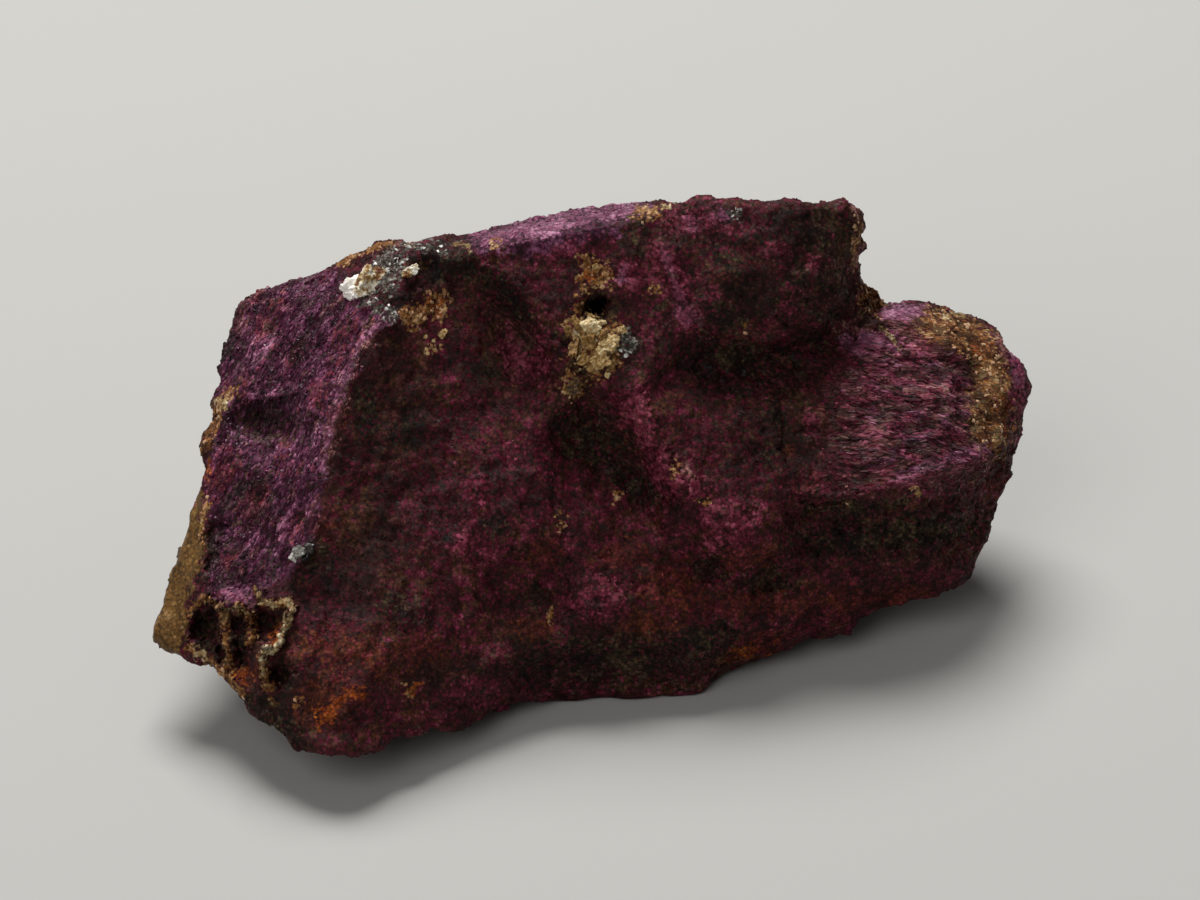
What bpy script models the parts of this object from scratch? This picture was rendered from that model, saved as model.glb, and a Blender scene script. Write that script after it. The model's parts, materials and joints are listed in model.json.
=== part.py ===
"""A rough piece of purpurite, 61 mm long: one broken stone, purple phosphate with a rusty crust.

Metres, +Z up. +X runs along the stone, -Y is the side that shows, and Z = 0 is the small
flat spot that it rests on. The stone is first shaped like a landscape, with the show side
facing up, and then tipped onto its spot.
"""

import math

import bmesh
import bpy
from mathutils import Matrix, Vector, noise
from mathutils.geometry import delaunay_2d_cdt

# Driving sizes, in metres. MM is the unit of every point below, and the points span 61 of them.
LENGTH = 0.061
MM = LENGTH / 61
MIDDLE_HEIGHT = 14 * MM  # of the show side's middle, above the table
TIP = math.radians(55)  # from lying flat to standing on the flat spot
VIEW_DISTANCE = 345 * MM  # the show side's points are laid down as seen from here
SINK = 1.3 * MM  # how far the cut for the flat spot goes in

# How the cage becomes rough stone.
GRAIN = 0.5 * MM
SOFTENING = 2
SWELL = 0.12
TRIANGLES = 9000
WELD = 0.04 * MM

# The edge where the show side turns over to the hidden side, clockwise from the top left corner.
OUTLINE = [
    (-24.3, 12.1, -5.0), (-22.9, 12.6, -4.2), (-21.4, 13.1, -3.5), (-19.0, 14.1, -2.5),
    (-17.4, 14.7, -1.5), (-16.6, 15.3, -1.0), (-14.1, 16.1, 0.0), (-11.0, 16.3, 0.8),
    (-9.0, 16.6, 0.6), (-6.2, 17.2, 0.4), (-3.4, 17.9, 0.3), (0.7, 18.6, 0.6),
    (4.8, 19.0, 1.6), (7.4, 19.4, 2.2), (9.3, 19.2, 2.0), (11.7, 18.8, 1.4),
    (14.5, 18.9, 0.8), (17.9, 18.7, -0.8), (18.8, 17.9, -1.8), (19.0, 15.9, -3.0),
    (18.7, 14.8, -3.8), (18.4, 13.4, -5.0), (19.7, 12.9, -6.0), (20.3, 11.9, -6.8),
    (22.8, 11.7, -8.4), (25.5, 11.2, -9.4), (26.9, 10.7, -9.6), (27.9, 10.0, -9.6),
    (29.3, 7.9, -9.0), (30.2, 5.9, -9.5), (29.7, 3.8, -9.5), (29.1, 1.0, -9.5),
    (28.1, -1.7, -9.0), (27.2, -4.5, -8.0), (26.2, -7.1, -7.0), (24.5, -8.4, -6.3),
    (21.7, -9.0, -6.0), (19.3, -10.0, -5.8), (17.9, -11.1, -5.5), (15.2, -11.0, -5.0),
    (13.1, -12.1, -4.5), (10.7, -13.1, -4.0), (9.3, -13.4, -3.5), (7.9, -15.0, -2.6),
    (3.4, -15.3, -2.2), (-2.1, -15.5, -1.6), (-5.9, -15.9, 0.8), (-7.9, -17.0, 3.2),
    (-11.0, -17.9, 6.0), (-14.5, -18.8, 8.2), (-17.2, -19.5, 9.4), (-19.3, -19.2, 9.0),
    (-21.4, -17.8, 8.2), (-23.4, -16.2, 7.0), (-24.8, -14.5, 5.4), (-26.1, -13.1, 4.2),
    (-28.3, -12.6, 3.4), (-29.8, -11.7, 2.8), (-30.0, -10.7, 2.2), (-29.4, -8.3, 1.2),
    (-28.4, -5.2, 0.8), (-27.6, -2.4, 0.6), (-26.7, -0.3, 0.3), (-26.8, 2.4, 0.0),
    (-26.1, 4.1, -1.0), (-26.0, 6.2, -2.0), (-25.4, 9.0, -3.5), (-24.7, 10.6, -4.2),
]

# Edges and brinks of the show side. Each runs unbroken through its points: right, up, out.
SHOW_EDGES = {
    "left ridge": [
        (-13.4, 11.6, 4.2), (-14.5, 10.0, 4.8), (-15.7, 7.9, 5.4), (-17.2, 5.2, 6.0),
        (-17.4, 3.1, 6.4), (-18.3, -0.3, 7.0), (-18.6, -2.8, 7.4), (-19.9, -5.2, 7.4),
        (-20.0, -9.3, 7.8), (-20.0, -12.8, 8.6),
    ],
    "top brink": [
        (-11.4, 15.5, 2.8), (-9.0, 15.9, 3.2), (-6.2, 16.3, 3.3), (-3.4, 17.0, 3.3),
        (0.7, 17.8, 3.1), (3.8, 18.4, 2.8),
    ],
    "shell fracture": [
        (-7.6, 14.7, 3.0), (-6.2, 13.8, 3.3), (-4.8, 12.4, 3.5), (-3.4, 11.4, 3.6),
        (-2.9, 9.7, 3.6), (-2.1, 8.6, 3.5), (-1.7, 6.6, 3.2), (-2.4, 4.8, 2.8),
    ],
    "block foot": [
        (7.0, 10.4, 2.4), (9.6, 9.9, 2.2), (12.6, 9.8, 1.6), (15.6, 10.8, 0.2), (17.4, 12.2, -2.0),
    ],
    "long ledge": [
        (14.2, -1.5, 1.8), (16.4, -1.6, 1.8), (18.8, -1.6, 1.6), (21.7, -0.3, 0.8),
        (24.1, 0.3, -0.6), (27.2, 1.4, -4.0),
    ],
    "lobe foot": [
        (7.9, -3.9, 2.2), (8.4, -5.2, 2.4), (10.7, -5.6, 2.2), (12.8, -4.8, 1.4), (13.2, -3.4, 1.0),
    ],
    "under brink": [
        (-5.6, -12.9, 3.6), (-3.4, -12.4, 2.9), (-2.1, -11.6, 2.4), (2.1, -11.4, 1.6),
        (7.4, -12.2, 0.4),
    ],
}

# Other points of the show side, by the form that they shape.
SHOW_POINTS = {
    "top left shoulder": [(-14.6, 13.6, 2.4), (-17.8, 11.6, 1.4), (-12.6, 14.2, 3.0)],
    "left facet": [
        (-22.8, 9.0, -1.4), (-19.6, 9.0, 1.8), (-21.6, 11.3, -1.8), (-23.1, 5.6, 1.0),
        (-20.4, 5.3, 3.4), (-22.4, 3.6, 0.6), (-20.2, 2.6, 3.0), (-24.4, 1.4, 1.4),
        (-22.3, -0.8, 3.8), (-21.8, -4.8, 5.0), (-24.4, -3.6, 3.0),
    ],
    "plate seam": [(-26.3, -2.0, 2.0), (-26.6, -5.2, 3.0), (-27.2, -8.6, 3.2), (-27.2, -11.3, 4.2)],
    "box-work corner": [
        (-25.8, -8.0, 4.6), (-23.6, -8.2, 5.8), (-25.3, -10.6, 4.6), (-22.4, -11.4, 6.6),
        (-23.2, -14.0, 6.8), (-21.0, -15.8, 8.2),
    ],
    "front, left part": [
        (-10.4, 9.6, 2.6), (-10.8, 12.0, 2.6), (-13.4, 5.0, 4.6), (-10.2, 0.4, 4.4),
        (-14.4, -4.4, 6.2), (-9.0, -5.0, 4.8), (-14.0, -11.6, 7.8), (-8.6, -9.6, 4.8),
        (-9.0, -14.4, 5.2), (-16.8, -16.4, 9.4), (-5.6, -8.4, 3.0), (-3.4, -10.4, 2.4),
    ],
    "shell hollow": [(-8.3, 12.6, 1.4), (-6.3, 11.2, 0.8), (-5.0, 9.2, 0.9), (-4.2, 6.6, 1.2)],
    "front, middle": [
        (-4.8, 1.6, 2.9), (-2.1, -3.0, 2.7), (-2.4, -8.2, 1.8), (0.8, -6.0, 2.4),
        (0.8, -9.0, 2.4), (4.2, -8.8, 1.6), (5.0, -4.8, 1.2), (0.2, 7.6, 2.6),
        (0.6, 11.6, 2.6), (1.8, 14.8, 3.0), (4.8, 12.2, 2.6),
    ],
    "middle hollow": [(-0.4, 3.0, 0.0), (1.4, 1.0, -0.1), (3.2, -1.4, -0.2)],
    "tongue": [(3.2, 5.6, 3.0), (4.2, 2.4, 3.2), (6.2, -1.0, 3.0), (6.9, 1.4, 2.2)],
    "upper block": [
        (5.6, 15.6, 2.8), (9.4, 15.4, 2.4), (13.0, 15.2, 1.6), (16.2, 15.2, 0.2),
        (9.4, 12.4, 2.5), (13.4, 12.2, 1.8),
    ],
    "hollow under the block": [
        (7.6, 8.0, 0.6), (10.7, 7.6, -0.8), (14.4, 8.6, -2.4), (17.2, 10.2, -4.4),
    ],
    "right front": [(7.8, 4.2, 1.8), (11.6, 3.4, 1.4), (15.6, 4.6, -0.4), (10.8, -0.6, 2.0)],
    "right lump": [
        (19.4, 8.6, -4.2), (22.8, 9.2, -6.0), (26.0, 8.6, -7.6), (19.8, 3.6, -0.9),
        (23.8, 5.2, -3.0), (26.6, 3.8, -4.8), (28.4, 5.8, -7.2),
    ],
    "under the ledge": [
        (15.0, -3.7, -1.2), (19.0, -3.8, -1.6), (22.6, -2.8, -2.6), (25.8, -1.6, -5.2),
    ],
    "lobe": [(9.2, -3.0, 2.8), (11.8, -3.2, 2.2)],
    "under the lobe": [(8.4, -6.8, 0.0), (12.2, -6.8, -1.2)],
    "lower right band": [
        (10.2, -9.6, 0.2), (14.6, -7.9, -1.2), (18.8, -6.8, -2.2), (23.0, -5.6, -4.0),
        (13.6, -10.4, -1.8),
    ],
}

# Corners of the flat spot: right and up. How far in they lie follows from SINK.
FLAT_SPOT = [
    (-4.6, -13.2), (3.0, -13.6), (8.6, -11.4), (10.6, -8.2), (6.0, -6.0), (-1.6, -6.0),
    (-6.4, -9.4),
]

# Edges of the hidden side, where its broken faces meet.
HIDDEN_EDGES = {
    "back ridge": [
        (-20.4, 8.4, -9.6), (-13.0, 9.4, -14.2), (-4.0, 10.8, -16.8), (1.6, 10.6, -18.0),
        (7.4, 10.0, -18.8), (13.4, 9.8, -18.0), (17.4, 10.2, -15.0),
    ],
    "back corner, left": [(-13.0, 9.4, -14.2), (-14.6, 3.0, -17.0), (-15.6, -3.6, -13.4)],
    "back corner, right": [(13.4, 9.8, -18.0), (15.4, 2.0, -20.2), (17.6, -4.0, -15.8)],
    "lump, back edge": [
        (19.8, 9.0, -14.4), (24.2, 8.6, -14.4), (27.8, 4.2, -14.0), (26.4, -2.6, -12.4),
    ],
}

# The rest of the hidden side: the underside, then the back from left to right.
HIDDEN_POINTS = {
    "underside, left": [
        (-14.0, -15.6, 2.4), (-20.0, -14.6, 1.6), (-18.6, -9.8, -5.4), (-25.2, -9.6, -2.6),
        (-24.4, -3.6, -7.4), (-12.6, -12.2, -5.4), (-17.4, -6.0, -10.8),
    ],
    "underside, right": [(20.5, -7.8, -8.8), (24.6, -5.4, -10.0)],
    "back, left": [
        (-22.6, 3.0, -10.0), (-14.4, 13.4, -5.4), (-8.4, 1.0, -19.4), (-8.0, 14.0, -7.6),
    ],
    "back, middle": [
        (-3.0, 3.6, -20.6), (-2.6, 15.4, -5.8), (5.4, 2.6, -21.4), (7.8, 16.0, -5.4),
        (1.4, 13.2, -11.0), (9.6, 13.2, -11.8),
    ],
    "back, right": [
        (15.4, 13.6, -10.0), (16.8, 16.6, -5.0), (21.6, 2.6, -17.0), (22.6, -2.4, -14.6),
        (23.4, 10.4, -11.6),
    ],
}

# Small lumps (+) and pits (-) of the show side: right, up, half length, half width, turn, height.
KNOBS = {
    "vug": (0.5, 11.6, 1.1, 0.9, 0, -2.4),
    "cream crystals": (0.6, 8.6, 2.6, 1.6, 80, 0.6),
    "quartz grain": (-15.6, 13.3, 1.6, 1.1, 60, 0.7),
    "mica book": (-12.4, 14.8, 2.0, 1.2, 10, 0.4),
    "silver grain": (-19.6, -5.1, 1.0, 0.8, 20, 0.7),
    "box-work wall, top": (-24.2, -8.6, 2.8, 0.7, -8, 0.9),
    "box-work wall, middle": (-22.0, -11.8, 0.7, 2.8, -20, 0.9),
    "box-work cell, left": (-26.4, -10.4, 1.2, 0.9, 0, -1.3),
    "box-work cell, middle": (-23.8, -12.6, 1.2, 1.0, 30, -1.5),
    "box-work cell, upper": (-22.4, -9.9, 0.9, 0.9, 0, -1.2),
    "box-work cell, low": (-20.8, -13.6, 1.1, 0.9, 20, -1.1),
    "tan lump, left edge": (-25.2, 4.2, 0.8, 1.6, 20, 0.7),
    "tan ridge, right edge": (28.6, 2.6, 0.7, 2.8, 5, 0.7),
    "gold crust": (25.6, 8.8, 3.4, 1.6, -12, 0.5),
    "pink fold": (5.6, 13.6, 0.8, 3.8, 25, 0.5),
}

# Broken steps of the cleavage: middle, half sizes of the patch, turn, spacing, height.
CLEAVAGE = {
    "left facet": (-22.0, 3.0, 6.5, 12.0, 62, 1.9, 0.55),
    "right lump": (22.6, 4.8, 7.0, 5.6, 4, 1.25, 0.34),
    "upper block": (12.0, 13.8, 8.0, 5.5, 150, 2.6, 0.4),
    "front, left part": (-10.0, -5.0, 8.0, 13.0, 75, 3.4, 0.4),
    "lower right band": (17.0, -7.0, 10.0, 5.0, 12, 1.8, 0.4),
    "back": (2.0, 6.0, 26.0, 12.0, 168, 3.6, 0.9),
}

# Layers of noise: width and height of the swells, and where the noise begins.
ROUGHNESS = [
    (8.0, 0.50, Vector((2, 9, 4))),
    (2.6, 0.26, Vector((5, 1, 8))),
    (1.2, 0.12, Vector((1, 6, 3))),
]
STEP_WANDER = [(6.2, 0.90, Vector((0, 0, 0))), (1.7, 0.25, Vector((0, 0, 0)))]
STEP_BREAKS = [(3.0, 0.90, Vector((7, 3, 5)))]
STEP_COVER = 0.55


def all_points(groups):
    """The points of every form, in one list."""
    return [point for points in groups.values() for point in points]


def seen_place(point):
    """Where a point of the show side truly is: right, up and out in metres."""
    right, up, out = Vector(point) * MM
    share = (VIEW_DISTANCE - out) / VIEW_DISTANCE
    return Vector((right * share, up * share, out))


def under_table(right, up):
    """The point of the hidden side that comes to lie SINK below the table."""
    drop = MIDDLE_HEIGHT + SINK + up * MM * math.sin(TIP)
    return Vector((right * MM, up * MM, -drop / math.cos(TIP)))


def sheet(ring, inner, lines):
    """Triangles that fill the ring through the inner points and along the lines, seen square on."""
    corners = ring + inner
    flat = [corner.to_2d() for corner in corners]
    edges = [(corners.index(a), corners.index(b)) for line in lines for a, b in zip(line, line[1:])]
    rim = list(range(len(ring)))
    _, _, faces, origins, _, _ = delaunay_2d_cdt(flat, edges, [rim], 1, WELD / 100)
    return [[corners[origins[index][0]] for index in face] for face in faces]


def unlike(points):
    """The points without repeats, in the same order."""
    return [point for index, point in enumerate(points) if point not in points[:index]]


def cage():
    """A closed, coarse mesh: the show side and the hidden side, joined at the outline."""
    ring = [seen_place(point) for point in OUTLINE]
    show_lines = [[seen_place(point) for point in line] for line in SHOW_EDGES.values()]
    show = sum(show_lines, []) + [seen_place(point) for point in all_points(SHOW_POINTS)]
    hidden_lines = [[Vector(point) * MM for point in line] for line in HIDDEN_EDGES.values()]
    hidden = sum(hidden_lines, []) + [Vector(point) * MM for point in all_points(HIDDEN_POINTS)]
    hidden += [under_table(*corner) for corner in FLAT_SPOT]
    bm = bmesh.new()
    for inner, lines, flip in ((show, show_lines, 1), (hidden, hidden_lines, -1)):
        for face in sheet(ring, unlike(inner), lines):
            bm.faces.new([bm.verts.new(corner) for corner in face[::flip]])
    bmesh.ops.remove_doubles(bm, verts=bm.verts, dist=WELD)
    bmesh.ops.recalc_face_normals(bm, faces=bm.faces)
    mesh = bpy.data.meshes.new("cage")
    bm.to_mesh(mesh)
    bm.free()
    return mesh


def with_modifiers(mesh, name, settings):
    """A new mesh: the given one with a row of modifiers applied."""
    carrier = bpy.data.objects.new(name, mesh)
    bpy.context.scene.collection.objects.link(carrier)
    for kind, values in settings:
        modifier = carrier.modifiers.new(kind.title(), kind)
        for key, value in values.items():
            setattr(modifier, key, value)
    graph = bpy.context.evaluated_depsgraph_get()
    result = bpy.data.meshes.new_from_object(carrier.evaluated_get(graph))
    bpy.data.objects.remove(carrier)
    bpy.data.meshes.remove(mesh)
    result.name = name
    return result


def falloff(place, middle, half_sizes, turn):
    """1 in the middle of a turned ellipse, 0 on its rim, and smooth between."""
    offset = Vector(place[:2]) - Vector(middle)
    offset.rotate(Matrix.Rotation(-math.radians(turn), 2))
    reach = (offset.x / half_sizes[0]) ** 2 + (offset.y / half_sizes[1]) ** 2
    return max(0.0, 1.0 - reach) ** 2


def knobs(place):
    """How far the small lumps and pits lift a point of the show side."""
    return sum(
        height * falloff(place, (right, up), (half_length, half_width), turn)
        for right, up, half_length, half_width, turn, height in KNOBS.values()
    )


def layered(place, layers):
    """The sum of some layers of noise."""
    return sum(height * noise.noise(place / width + start) for width, height, start in layers)


def step_height(place, turn, spacing, height):
    """A saw-toothed rise across lines that run at the given turn, wandering and broken off in places."""
    across = math.cos(math.radians(turn)) * place.y - math.sin(math.radians(turn)) * place.x
    tooth = across / spacing + layered(place, STEP_WANDER)
    cover = max(0.0, STEP_COVER + layered(place, STEP_BREAKS))
    return height * cover * (tooth - math.floor(tooth) - 0.5)


def cleavage(place, shows):
    """How far the broken cleavage lifts a point."""
    total = 0.0
    for name, (right, up, half_right, half_up, turn, spacing, height) in CLEAVAGE.items():
        if shows == (name == "back"):
            continue
        share = min(1.0, 2.0 * falloff(place, (right, up), (half_right, half_up), 0))
        if share > 0.0:
            total += share * step_height(place, turn, spacing, height)
    return total


def weathered(mesh):
    """Moves the points of the smooth mesh: knobs and pits outwards, fracture along the normals."""
    bm = bmesh.new()
    bm.from_mesh(mesh)
    bm.normal_update()
    moves = []
    for vert in bm.verts:
        place = vert.co / MM
        shows = vert.normal.z > 0.0
        lift = SWELL + cleavage(place, shows) + layered(place, ROUGHNESS)
        move = vert.normal * lift
        if shows:
            move = move + Vector((0, 0, knobs(place)))
        moves.append(move)
    for vert, move in zip(bm.verts, moves):
        vert.co += move * MM
    bm.to_mesh(mesh)
    bm.free()
    mesh.update()
    return mesh


def tipped_up(mesh):
    """Tips the stone up and cuts the flat spot."""
    bm = bmesh.new()
    bm.from_mesh(mesh)
    tip = Matrix.Translation((0, 0, MIDDLE_HEIGHT)) @ Matrix.Rotation(TIP, 4, "X")
    bmesh.ops.transform(bm, matrix=tip, verts=bm.verts)
    everything = list(bm.verts) + list(bm.edges) + list(bm.faces)
    bmesh.ops.bisect_plane(
        bm, geom=everything, dist=WELD, plane_co=(0, 0, 0), plane_no=(0, 0, -1), clear_outer=True
    )
    for vert in bm.verts:
        if abs(vert.co.z) < WELD:
            vert.co.z = 0.0
    rim = [edge for edge in bm.edges if edge.is_boundary]
    bmesh.ops.holes_fill(bm, edges=rim, sides=0)
    bmesh.ops.triangulate(bm, faces=bm.faces)
    bmesh.ops.recalc_face_normals(bm, faces=bm.faces)
    bm.to_mesh(mesh)
    bm.free()
    return mesh


def purple_phosphate():
    """Dull purple stone with a faint silky shine."""
    material = bpy.data.materials.new("purpurite")
    material.use_nodes = True
    shader = material.node_tree.nodes["Principled BSDF"]
    shader.inputs["Base Color"].default_value = (0.075, 0.014, 0.035, 1.0)
    shader.inputs["Roughness"].default_value = 0.65
    shader.inputs["Metallic"].default_value = 0.0
    return material


def stone():
    """The whole specimen as one closed, faceted solid."""
    shaped = with_modifiers(
        cage(),
        "stone",
        [
            ("REMESH", {"mode": "VOXEL", "voxel_size": GRAIN}),
            ("SMOOTH", {"factor": 0.5, "iterations": SOFTENING}),
        ],
    )
    rough = weathered(shaped)
    ratio = TRIANGLES / (2 * len(rough.polygons))
    decimate = ("DECIMATE", {"ratio": ratio, "use_collapse_triangulate": True})
    mesh = tipped_up(with_modifiers(rough, "stone", [decimate]))
    mesh.materials.append(purple_phosphate())
    whole = bpy.data.objects.new("stone", mesh)
    corners = [Vector(corner) for corner in whole.bound_box]
    middle = (corners[0] + corners[6]) / 2
    whole.location = (-middle.x, -middle.y, 0)
    return whole


def build():
    for old in list(bpy.data.objects):
        bpy.data.objects.remove(old)
    collection = bpy.data.collections.new("purpurite")
    bpy.context.scene.collection.children.link(collection)
    collection.objects.link(stone())


build()
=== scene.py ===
# The looks of a rough purpurite, 61 mm long: one broken stone of purple phosphate, with
# rust, ochre crust, small crystals and a pale plate in its skin. Metres, +Z up.
import json
import math
import random

import bmesh
import bpy
import numpy as np
from mathutils import Matrix, Vector, noise
from mathutils.bvhtree import BVHTree

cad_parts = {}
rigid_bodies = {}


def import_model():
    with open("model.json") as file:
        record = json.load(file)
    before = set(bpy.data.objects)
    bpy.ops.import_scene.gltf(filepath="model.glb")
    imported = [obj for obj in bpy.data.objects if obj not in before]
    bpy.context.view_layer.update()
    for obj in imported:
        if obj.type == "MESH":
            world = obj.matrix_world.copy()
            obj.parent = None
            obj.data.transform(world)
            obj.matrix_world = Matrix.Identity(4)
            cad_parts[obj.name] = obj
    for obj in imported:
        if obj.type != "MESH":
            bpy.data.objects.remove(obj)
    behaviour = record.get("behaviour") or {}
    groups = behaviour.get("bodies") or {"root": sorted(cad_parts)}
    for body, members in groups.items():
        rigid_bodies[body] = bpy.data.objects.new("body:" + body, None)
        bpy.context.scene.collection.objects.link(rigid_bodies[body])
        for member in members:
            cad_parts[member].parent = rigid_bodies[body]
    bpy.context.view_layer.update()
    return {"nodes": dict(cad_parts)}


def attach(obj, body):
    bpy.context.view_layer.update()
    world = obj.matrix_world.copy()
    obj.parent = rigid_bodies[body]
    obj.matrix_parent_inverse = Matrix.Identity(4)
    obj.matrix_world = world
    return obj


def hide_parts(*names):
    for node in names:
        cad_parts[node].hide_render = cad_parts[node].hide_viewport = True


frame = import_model()

mm = 0.001

# How the photograph sees the stone. Pixels are those of its 1200 x 900 frame.
photo = {
    "middlePixel": (590, 475),  # looks at the stone's own middle
    "pixelsPerMm": 14.5,
    "distance": 345.0,  # mm from the lens to that middle
    "lookDown": 35.0,  # degrees
    "middlePlace": (-0.79, -1.65, 14.0),  # mm, where that middle is in the solid's frame
    "lens": 150.0,
    "sensor": 36.0,
    "framePixels": (1200, 900),
}

lookDown = math.radians(photo["lookDown"])
rightWay = Vector((1, 0, 0))
upWay = Vector((0, math.sin(lookDown), math.cos(lookDown)))
outWay = Vector((0, -math.cos(lookDown), math.sin(lookDown)))


def say(text):
    print("purpurite:", text, flush=True)


# Measuring on the stone

def ownPlaces(points):
    # right, up and out from the stone's middle, in mm, for points in metres
    offset = points / mm - np.array(photo["middlePlace"])
    return offset @ np.array([rightWay, upWay, outWay]).T


def seenPixels(points):
    # the pixel of the photograph that each point falls on
    right, up, out = ownPlaces(points).T
    scale = photo["pixelsPerMm"] * photo["distance"] / (photo["distance"] - out)
    return photo["middlePixel"][0] + right * scale, photo["middlePixel"][1] - up * scale


def smoothStep(values, low, high):
    share = np.clip((values - low) / (high - low), 0, 1)
    return share * share * (3 - 2 * share)


def lineDistance(x, y, line):
    # how far each pixel is from a line through some pixels
    nearest = np.full(len(x), 1e9)
    for (x0, y0), (x1, y1) in zip(line, line[1:]):
        dx, dy = x1 - x0, y1 - y0
        along = np.clip(((x - x0) * dx + (y - y0) * dy) / (dx * dx + dy * dy), 0, 1)
        nearest = np.minimum(nearest, np.hypot(x - x0 - along * dx, y - y0 - along * dy))
    return nearest


def insideShare(x, y, outline, softness):
    # 1 well inside an outline of pixels, 0 well outside, half on the line
    closed = outline + outline[:1]
    inside = np.zeros(len(x), bool)
    for (x0, y0), (x1, y1) in zip(closed, closed[1:]):
        crosses = (y0 > y) != (y1 > y)
        inside ^= crosses & (x < x0 + (y - y0) / (y1 - y0 + 1e-9) * (x1 - x0))
    signed = lineDistance(x, y, closed) * np.where(inside, 1, -1)
    return smoothStep(signed, -softness, softness)


def spotShare(x, y, spot):
    # 1 in the middle of a turned ellipse of pixels, half on its rim, 0 well outside
    middleX, middleY, halfLong, halfWide, turn = spot
    turn = math.radians(turn)
    along = (x - middleX) * math.cos(turn) - (y - middleY) * math.sin(turn)
    across = (x - middleX) * math.sin(turn) + (y - middleY) * math.cos(turn)
    return np.clip(1 - ((along / halfLong) ** 2 + (across / halfWide) ** 2) / 2, 0, 1)


def softNoise(points, start=(0, 0, 0)):
    # smooth noise, about -0.7 to 0.7
    return np.array([noise.noise(place) for place in (points + np.array(start)).tolist()])


def stretched(places, turn, along, across):
    # places in a grid that is turned in the face of the stone and drawn out along one way
    turn = math.radians(turn)
    right, up, out = places.T
    lengthwise = right * math.cos(turn) + up * math.sin(turn)
    crosswise = up * math.cos(turn) - right * math.sin(turn)
    return np.stack([lengthwise / along, crosswise / across, out / across], axis=1)


def ridges(places, turn, along, across, start):
    # sharp crests with round valleys, about -0.5 to 0.5
    return 0.5 - 2 * np.abs(softNoise(stretched(places, turn, along, across), start))


def brokenFacets(places, start):
    # every cell of a random net gets its own plane, leant its own way
    heights = []
    for place in (places + np.array(start)).tolist():
        spot = Vector(place)
        middle = noise.voronoi(spot)[1][0]
        lean = noise.cell_vector(middle)
        heights.append((spot - middle).dot(lean) + 0.35 * lean.z)
    heights = np.array(heights)
    return heights - heights.mean()


# Regions of the show side, as outlines of pixels

leftFacet = [
    (238, 300), (262, 290), (300, 274), (335, 262), (352, 290), (372, 306), (395, 312),
    (375, 332), (355, 372), (345, 400), (331, 440), (325, 480), (318, 540), (300, 565),
    (262, 598), (214, 612), (206, 575), (214, 520), (200, 490), (203, 440), (213, 390),
    (220, 345),
]

rightLump = [
    (846, 345), (884, 322), (905, 316), (960, 335), (985, 350), (1002, 400), (1005, 450),
    (985, 474), (930, 480), (850, 496), (826, 450), (832, 390),
]

paleSlab = [
    (200, 490), (207, 500), (200, 523), (201, 555), (192, 580), (189, 606), (187, 629),
    (177, 658), (156, 655), (145, 640), (148, 600), (162, 570), (180, 525),
]

goldCrust = [
    (912, 318), (928, 306), (965, 312), (992, 333), (1006, 365), (1010, 400), (1010, 440),
    (1000, 462), (984, 452), (972, 430), (967, 395), (974, 368), (950, 352), (926, 340),
]

brokenSide = [
    (632, 232), (700, 214), (846, 210), (856, 290), (824, 400), (800, 470), (728, 450), (700, 400),
    (640, 372), (634, 300),
]

cellField = [
    (190, 592), (222, 596), (256, 600), (262, 586), (296, 596), (304, 640), (320, 680), (330, 725),
    (286, 728), (250, 700), (222, 668), (188, 650),
]

# Pits of the show side: middle and half sizes in pixels, turn, depth in mm (below 0 a swelling),
# and how steep the wall is, from 0, a soft dish, to 1.
pits = {
    "vug": (598, 308, 15, 13, 20, 2.0, 0.8),
    "below the left ledge": (270, 418, 32, 20, 0, 0.45, 0.2),
    "gap beside the slab": (211, 548, 8, 30, -10, 0.8, 0.6),
    "cell, left": (204, 624, 14, 17, 0, 0.9, 0.6),
    "cell, left, low": (206, 646, 9, 7, 0, 0.5, 0.6),
    "cell, middle": (238, 628, 5, 18, 0, 0.7, 0.7),
    "cell, right": (270, 630, 13, 17, 10, 0.9, 0.5),
    "cell, low": (242, 655, 6, 12, 0, 1.0, 0.8),
    "cell, between": (221, 654, 6, 8, 0, 0.8, 0.7),
    "cell, foot": (284, 676, 12, 14, 10, 0.8, 0.6),
    "notch": (873, 302, 7, 20, 10, 0.7, 0.5),
    "between the crystals": (580, 364, 12, 5, -45, 0.6, 0.6),
    "shade of the silver grain": (312, 566, 12, 7, 10, 0.4, 0.5),
    "front hollow": (602, 446, 40, 20, -34, 0.3, 0.0),
    "front hollow, low": (640, 490, 26, 12, -42, 0.45, 0.3),
    "under the tongue": (674, 503, 14, 6, 10, 0.3, 0.5),
    "under the block": (734, 362, 44, 15, -3, 0.3, 0.2),
    "under the block, right": (806, 346, 34, 14, 22, 0.15, 0.2),
    "under the lobe": (708, 572, 20, 12, 0, 0.4, 0.3),
    "under the lobe, right": (770, 584, 40, 11, 8, 0.4, 0.3),
    "shell hollow": (528, 366, 18, 44, 24, 0.4, 0.1),
    "front dish": (400, 470, 60, 90, 0, 0.3, 0.0),
    "foot dish": (660, 560, 60, 30, 0, 0.3, 0.0),
    "underside": (626, 668, 96, 20, 0, 0.5, 0.0),
    "lobe, raised": (742, 530, 40, 30, 5, -0.45, 0.0),
    "middle, raised": (602, 604, 34, 34, 0, -0.35, 0.0),
}

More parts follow.
